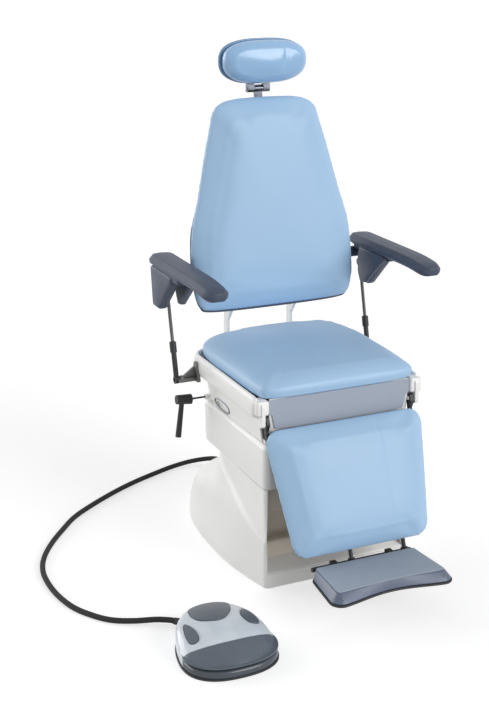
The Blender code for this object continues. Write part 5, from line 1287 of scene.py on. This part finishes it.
class ControlOperator(ChairOperator):
    """Build the foot control: foot, skirt, shell, pedal and buttons"""

    bl_idname = "exam_chair.control"
    bl_label = "Foot control"

    CENTRE = Vector((-0.48, -0.524))
    HALF, DEPTH, NARROWING = 0.128, 0.142, 0.19
    DOME, DOME_BACK = 0.091, 0.03
    DOME_SHARES = (1.0, 0.985, 0.96, 0.92, 0.86, 0.78, 0.68, 0.56, 0.42, 0.28, 0.14, 0.04)
    PEDAL_REAR, PEDAL_BOW, GAP = -0.076, 2.0, 0.0015
    LOW = 0.034  # where the dome starts
    # Steps of (growth of the outline, height)
    FOOT = ((0.0, 0.0), (0.0018, 0.0012), (0.002, 0.004), (0.0006, 0.0054))
    SKIRT = (
        (-0.002, 0.0052), (-0.0006, 0.01), (-0.001, 0.019), (-0.0035, 0.024), (-0.0075, 0.0262),
        (-0.012, 0.0268),
    )
    FLANK = ((-0.002, 0.0052), (-0.0008, 0.011), (-0.0004, 0.022), (-0.0004, LOW + 0.0005))
    KEYS = {
        "rear": (
            (-0.049, 0.113), (-0.059, 0.094), (-0.062, 0.062), (-0.053, 0.034), (-0.03, 0.017),
            (-0.007, 0.01), (0.016, 0.018), (0.038, 0.043), (0.056, 0.082), (0.05, 0.108), (0.0, 0.119),
        ),
        "left": (
            (-0.092, 0.046), (-0.083, 0.026), (-0.078, 0.001), (-0.079, -0.024), (-0.086, -0.036),
            (-0.097, -0.036), (-0.105, -0.026), (-0.105, -0.002), (-0.1, 0.026),
        ),
        "right": (
            (0.077, 0.052), (0.09, 0.053), (0.1, 0.038), (0.104, 0.014), (0.103, -0.006),
            (0.092, -0.018), (0.072, -0.017), (0.063, 0.004), (0.064, 0.026),
        ),
    }
    KEY_LIFT, KEY_LOW, POCKET, POCKET_LOW = 0.0035, 0.05, 0.0013, 0.045
    ABOVE = 0.2

    def outline(self, grow):
        points = superellipse(self.HALF + grow, self.DEPTH + grow, 2.4, 128)
        return [self.CENTRE + Vector((u * (1 - self.NARROWING * v / self.DEPTH), v)) for u, v in points]

    def wall(self, steps):
        return loft([level(self.outline(grow), z) for grow, z in steps])

    def height(self, point):
        u = (point.x - self.CENTRE.x) / (self.HALF * 1.25)
        v = (point.y - self.CENTRE.y - self.DOME_BACK) / (self.DEPTH * 1.3)
        return self.DOME * math.sqrt(max(0.0, 1 - u * u - v * v))

    def dome(self, lift):
        """The control's rounded top, closed below."""
        edge = self.outline(0.0)
        rings = [level(edge, self.LOW)]
        for share in self.DOME_SHARES:
            ease = 0.01 * max(0.0, (share - 0.9) / 0.1) ** 2
            ring = [self.CENTRE.lerp(p, share) for p in edge]
            rings.append([Vector((*p, max(self.height(p) + lift - ease, self.LOW + 0.004))) for p in ring])
        return loft(rings)

    def front(self, gap=0.0):
        """All of the pedal's side, whose rear edge bows forwards in the middle."""
        across = [(x / 50, self.PEDAL_REAR + gap + self.PEDAL_BOW * (x / 50) ** 2) for x in range(-8, 9)]
        plan = [self.CENTRE + Vector(p) for p in across + [(0.3, -0.3), (-0.3, -0.3)]]
        return loft([level(plan, z) for z in (-0.1, self.ABOVE)])

    def key(self, word, grow, low):
        """The space over a button, grown by its gap."""
        curve = spaced(catmull([self.CENTRE + Vector(p) for p in self.KEYS[word]], 12), 72)
        return loft([level(inset(curve, -grow), z) for z in (low, self.ABOVE)])

    def execute(self, context):
        piece("control_foot", self.wall(self.FOOT), "rim_rubber", "base", "dark_plastic", "control_base")
        skirt, flank = self.wall(self.SKIRT), self.wall(self.FLANK)
        piece("control_skirt", skirt, "control_skirt", "base", "dark_plastic", keep=[self.front()])
        piece("control_flank", flank, "control_shell", "base", "grey_plastic", cut=[self.front(self.GAP)])
        pockets = [self.key(word, self.POCKET, self.POCKET_LOW) for word in self.KEYS]
        piece(
            "control_top", self.dome(0.0), "control_shell", "base", "grey_plastic", "control_housing", angle=40,
            cut=[self.front(self.GAP)] + pockets, edge=(0.0016, 3, 40),
        )
        piece(
            "control_treadle", self.dome(-0.0004), "pedal_rubber", "pedal", "slate_plastic", "control_pedal",
            angle=40, keep=[self.front()], edge=(0.0035, 4, 40),
        )
        for word in self.KEYS:
            body = "button_" + word
            piece(
                "control_key_" + word, self.dome(self.KEY_LIFT), "pedal_rubber", body, "slate_plastic",
                "control_" + body, angle=40, keep=[self.key(word, 0.0, self.KEY_LOW)], edge=(0.0022, 4, 40),
            )
        return {"FINISHED"}


class HardwareOperator(ChairOperator):
    """Round the edges of the metal and plastic hardware and give each its finish"""

    bl_idname = "exam_chair.hardware"
    bl_label = "Hardware"

    ROUNDED = (
        ("leg_shell", "shell_plastic", "leg", "dark_plastic", 0.002),
        ("head_guide", "rim_rubber", "back", "dark_plastic", 0.002),
        ("head_stem", "satin_steel", "head_slide", "chrome", 0.001),
        ("head_bracket", "satin_steel", "head", "chrome", 0.001),
        ("head_pin", "brushed_steel", "head", "steel", 0.0008),
        ("lock_lever", "rim_rubber", "lever", "dark_plastic", 0.002),
        ("lever_boss", "cover_enamel", "seat", "white_cover", 0.001),
        ("leg_bracket_{}", "white_steel", "seat", "white_metal", 0.003),
        ("back_spine_{}", "white_steel", "back", "white_metal", 0.0015),
        ("leg_rail_{}", "black_coat", "leg", "black_metal", 0.001),
        ("leg_bar", "black_coat", "leg", "black_metal", 0.0008),
        ("foot_post_{}", "black_coat", "leg", "black_metal", 0.0008),
        ("foot_bar", "black_coat", "foot", "black_metal", 0.0008),
        ("arm_axle", "brushed_steel", "back", "steel", 0.001),
        ("recline_tube", "brushed_steel", "back", "steel", 0.001),
    )
    KEPT = {
        "dark_steel": ("base_plate", "lift_motor", "seat_pan"),
        "brushed_steel": ("lift_column", "lift_ram", "swivel_bearing", "turntable"),
    }
    # Steps of (inset, depth behind the frame) and of (inset, height over the frame)
    BACK_STEPS = (
        (0.0105, 0.0243), (0.0085, 0.0252), (0.0088, 0.029), (0.014, 0.037), (0.024, 0.0415),
        (0.034, 0.0432), (0.038, 0.0418), (0.042, 0.0432),
    )
    BACK_LIP, BACK_TUCK = 0.007, 0.011
    HEAD_STEPS = (
        (0.03, -0.0138), (0.012, -0.0132), (0.004, -0.01), (0.0004, -0.004), (0.0, 0.003),
        (0.0012, 0.0046), (0.004, 0.005), (0.012, 0.0004),
    )

    def execute(self, context):
        for node, *look in self.ROUNDED:
            for word, _ in SIDES if "{}" in node else SIDES[:1]:
                trim(node.format(word), *look)
        self.back_shell()
        self.head_shell()
        for finish, nodes in self.KEPT.items():
            for node in nodes:
                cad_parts[node].data.materials.clear()
                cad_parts[node].data.materials.append(finish_of(finish))
        return {"FINISHED"}

    def back_shell(self):
        """The backrest's moulded shell with a raised field, lipped below and tucked in above."""
        outline = spaced(BACK_OUTLINE, 200)
        for point in outline:
            point.y -= self.BACK_LIP * max(0.0, 1 - max(0.0, point.y + 0.01) / 0.06)
        rings = []
        for d, depth in self.BACK_STEPS:
            pairs = zip(inset(outline, d), inset(outline, d + self.BACK_TUCK))
            tucked = [a.lerp(b, clamped((a.y - 0.24) / 0.2)) for a, b in pairs]
            rings.append(level(tucked, -depth, facing(BACK_FRAME)))
        piece("back_moulding", loft(rings), "shell_plastic", "back", "slate_plastic", "back_shell", angle=50)

    def head_shell(self):
        """The headrest's tray, whose lip stands round the cushion."""
        tray = loft([level(inset(HEAD_OUTLINE, d), h, HEAD_FRAME) for d, h in self.HEAD_STEPS])
        piece("head_moulding", tray, "head_plastic", "head", "dark_plastic", "head_shell", angle=50)


class StageOperator(ChairOperator):
    """Lay the floor, hang the lamps and set the camera at the photograph's viewpoint"""

    bl_idname = "exam_chair.stage"
    bl_label = "Stage"

    CAMERA, PITCH, YAW, LENS = (-1.677, -3.323, 1.841), 18.5536, -24.2445, 65.0
    # Direction to the lamp, and the angle that it spans
    LAMPS = {"key": ((0.44, -0.84, 0.4), 36), "side": ((-0.73, 0.67, 0.1), 60)}

    def execute(self, context):
        scene = context.scene
        scene.view_settings.view_transform = "Standard"
        data = bpy.data.cameras.new("viewpoint")
        data.lens = self.LENS
        data.sensor_width = 36.0
        data.clip_end = 500.0
        camera = self.hang(context, "viewpoint", data)
        camera.location = self.CAMERA
        camera.rotation_euler = (math.radians(90 - self.PITCH), 0, math.radians(self.YAW))
        scene.camera = camera

        bm = bmesh.new()
        bmesh.ops.create_grid(bm, x_segments=2, y_segments=2, size=chosen("stage").floor)
        floor = object_from("floor", bm)
        floor.data.materials.append(bpy.data.materials.new("pale_floor"))
        self.paint_floor(Paint(floor.data.materials[0]))

        scene.world = bpy.data.worlds.new("studio")
        sky = Paint(scene.world, "Background")
        fill = chosen("stage").fill
        sky.shade(color=(1, 1, 1, 1), strength=fill + (1 - fill) * sky.seen())
        for name, (towards, softness) in self.LAMPS.items():
            data = bpy.data.lights.new(name, "SUN")
            data.energy = getattr(chosen("stage"), name)
            data.angle = math.radians(softness)
            lamp = self.hang(context, name, data)
            lamp.rotation_euler = Vector(towards).to_track_quat("Z", "Y").to_euler()
        return {"FINISHED"}

    @staticmethod
    def hang(context, name, data):
        made = bpy.data.objects.new(name, data)
        context.scene.collection.objects.link(made)
        return made

    @staticmethod
    def paint_floor(paint):
        """A pale floor that shows white to the camera and keeps the chair's shadow."""
        glow = paint.blend(paint.seen(), (0, 0, 0, 1), (0.6, 0.6, 0.6, 1))
        paint.shade(base_color=(0.62, 0.62, 0.62, 1), roughness=0.9, specular_ior_level=0.0)
        paint.shade(emission_color=glow, emission_strength=1.0)


class ChairPanel(bpy.types.Panel):
    """Lists the chair's build steps and settings"""

    bl_idname = "VIEW3D_PT_exam_chair"
    bl_label = "Examination chair"
    bl_space_type = "VIEW_3D"
    bl_region_type = "UI"
    bl_category = "Chair"

    def draw(self, context):
        for step in STEPS:
            self.layout.operator(step.bl_idname)
        for group in SETTINGS:
            column = self.layout.column(heading=group.title())
            values = chosen(group)
            for name in values.__annotations__:
                column.prop(values, name)


STEPS = (
    StageOperator, CordOperator, CushionsOperator, SeatTrimOperator, CoversOperator, ArmsOperator,
    LinksOperator, FootrestOperator, ControlOperator, HardwareOperator,
)
CLASSES = (*SETTINGS.values(), *STEPS, ChairPanel)


def register():
    for kind in CLASSES:
        bpy.utils.register_class(kind)
    for group, kind in SETTINGS.items():
        setattr(bpy.types.Scene, "exam_chair_" + group, PointerProperty(type=kind))


def unregister():
    for group in SETTINGS:
        delattr(bpy.types.Scene, "exam_chair_" + group)
    for kind in reversed(CLASSES):
        bpy.utils.unregister_class(kind)


def main():
    register()
    for step in STEPS:
        family, name = step.bl_idname.split(".")
        getattr(getattr(bpy.ops, family), name)()


if __name__ == "__main__":
    main()
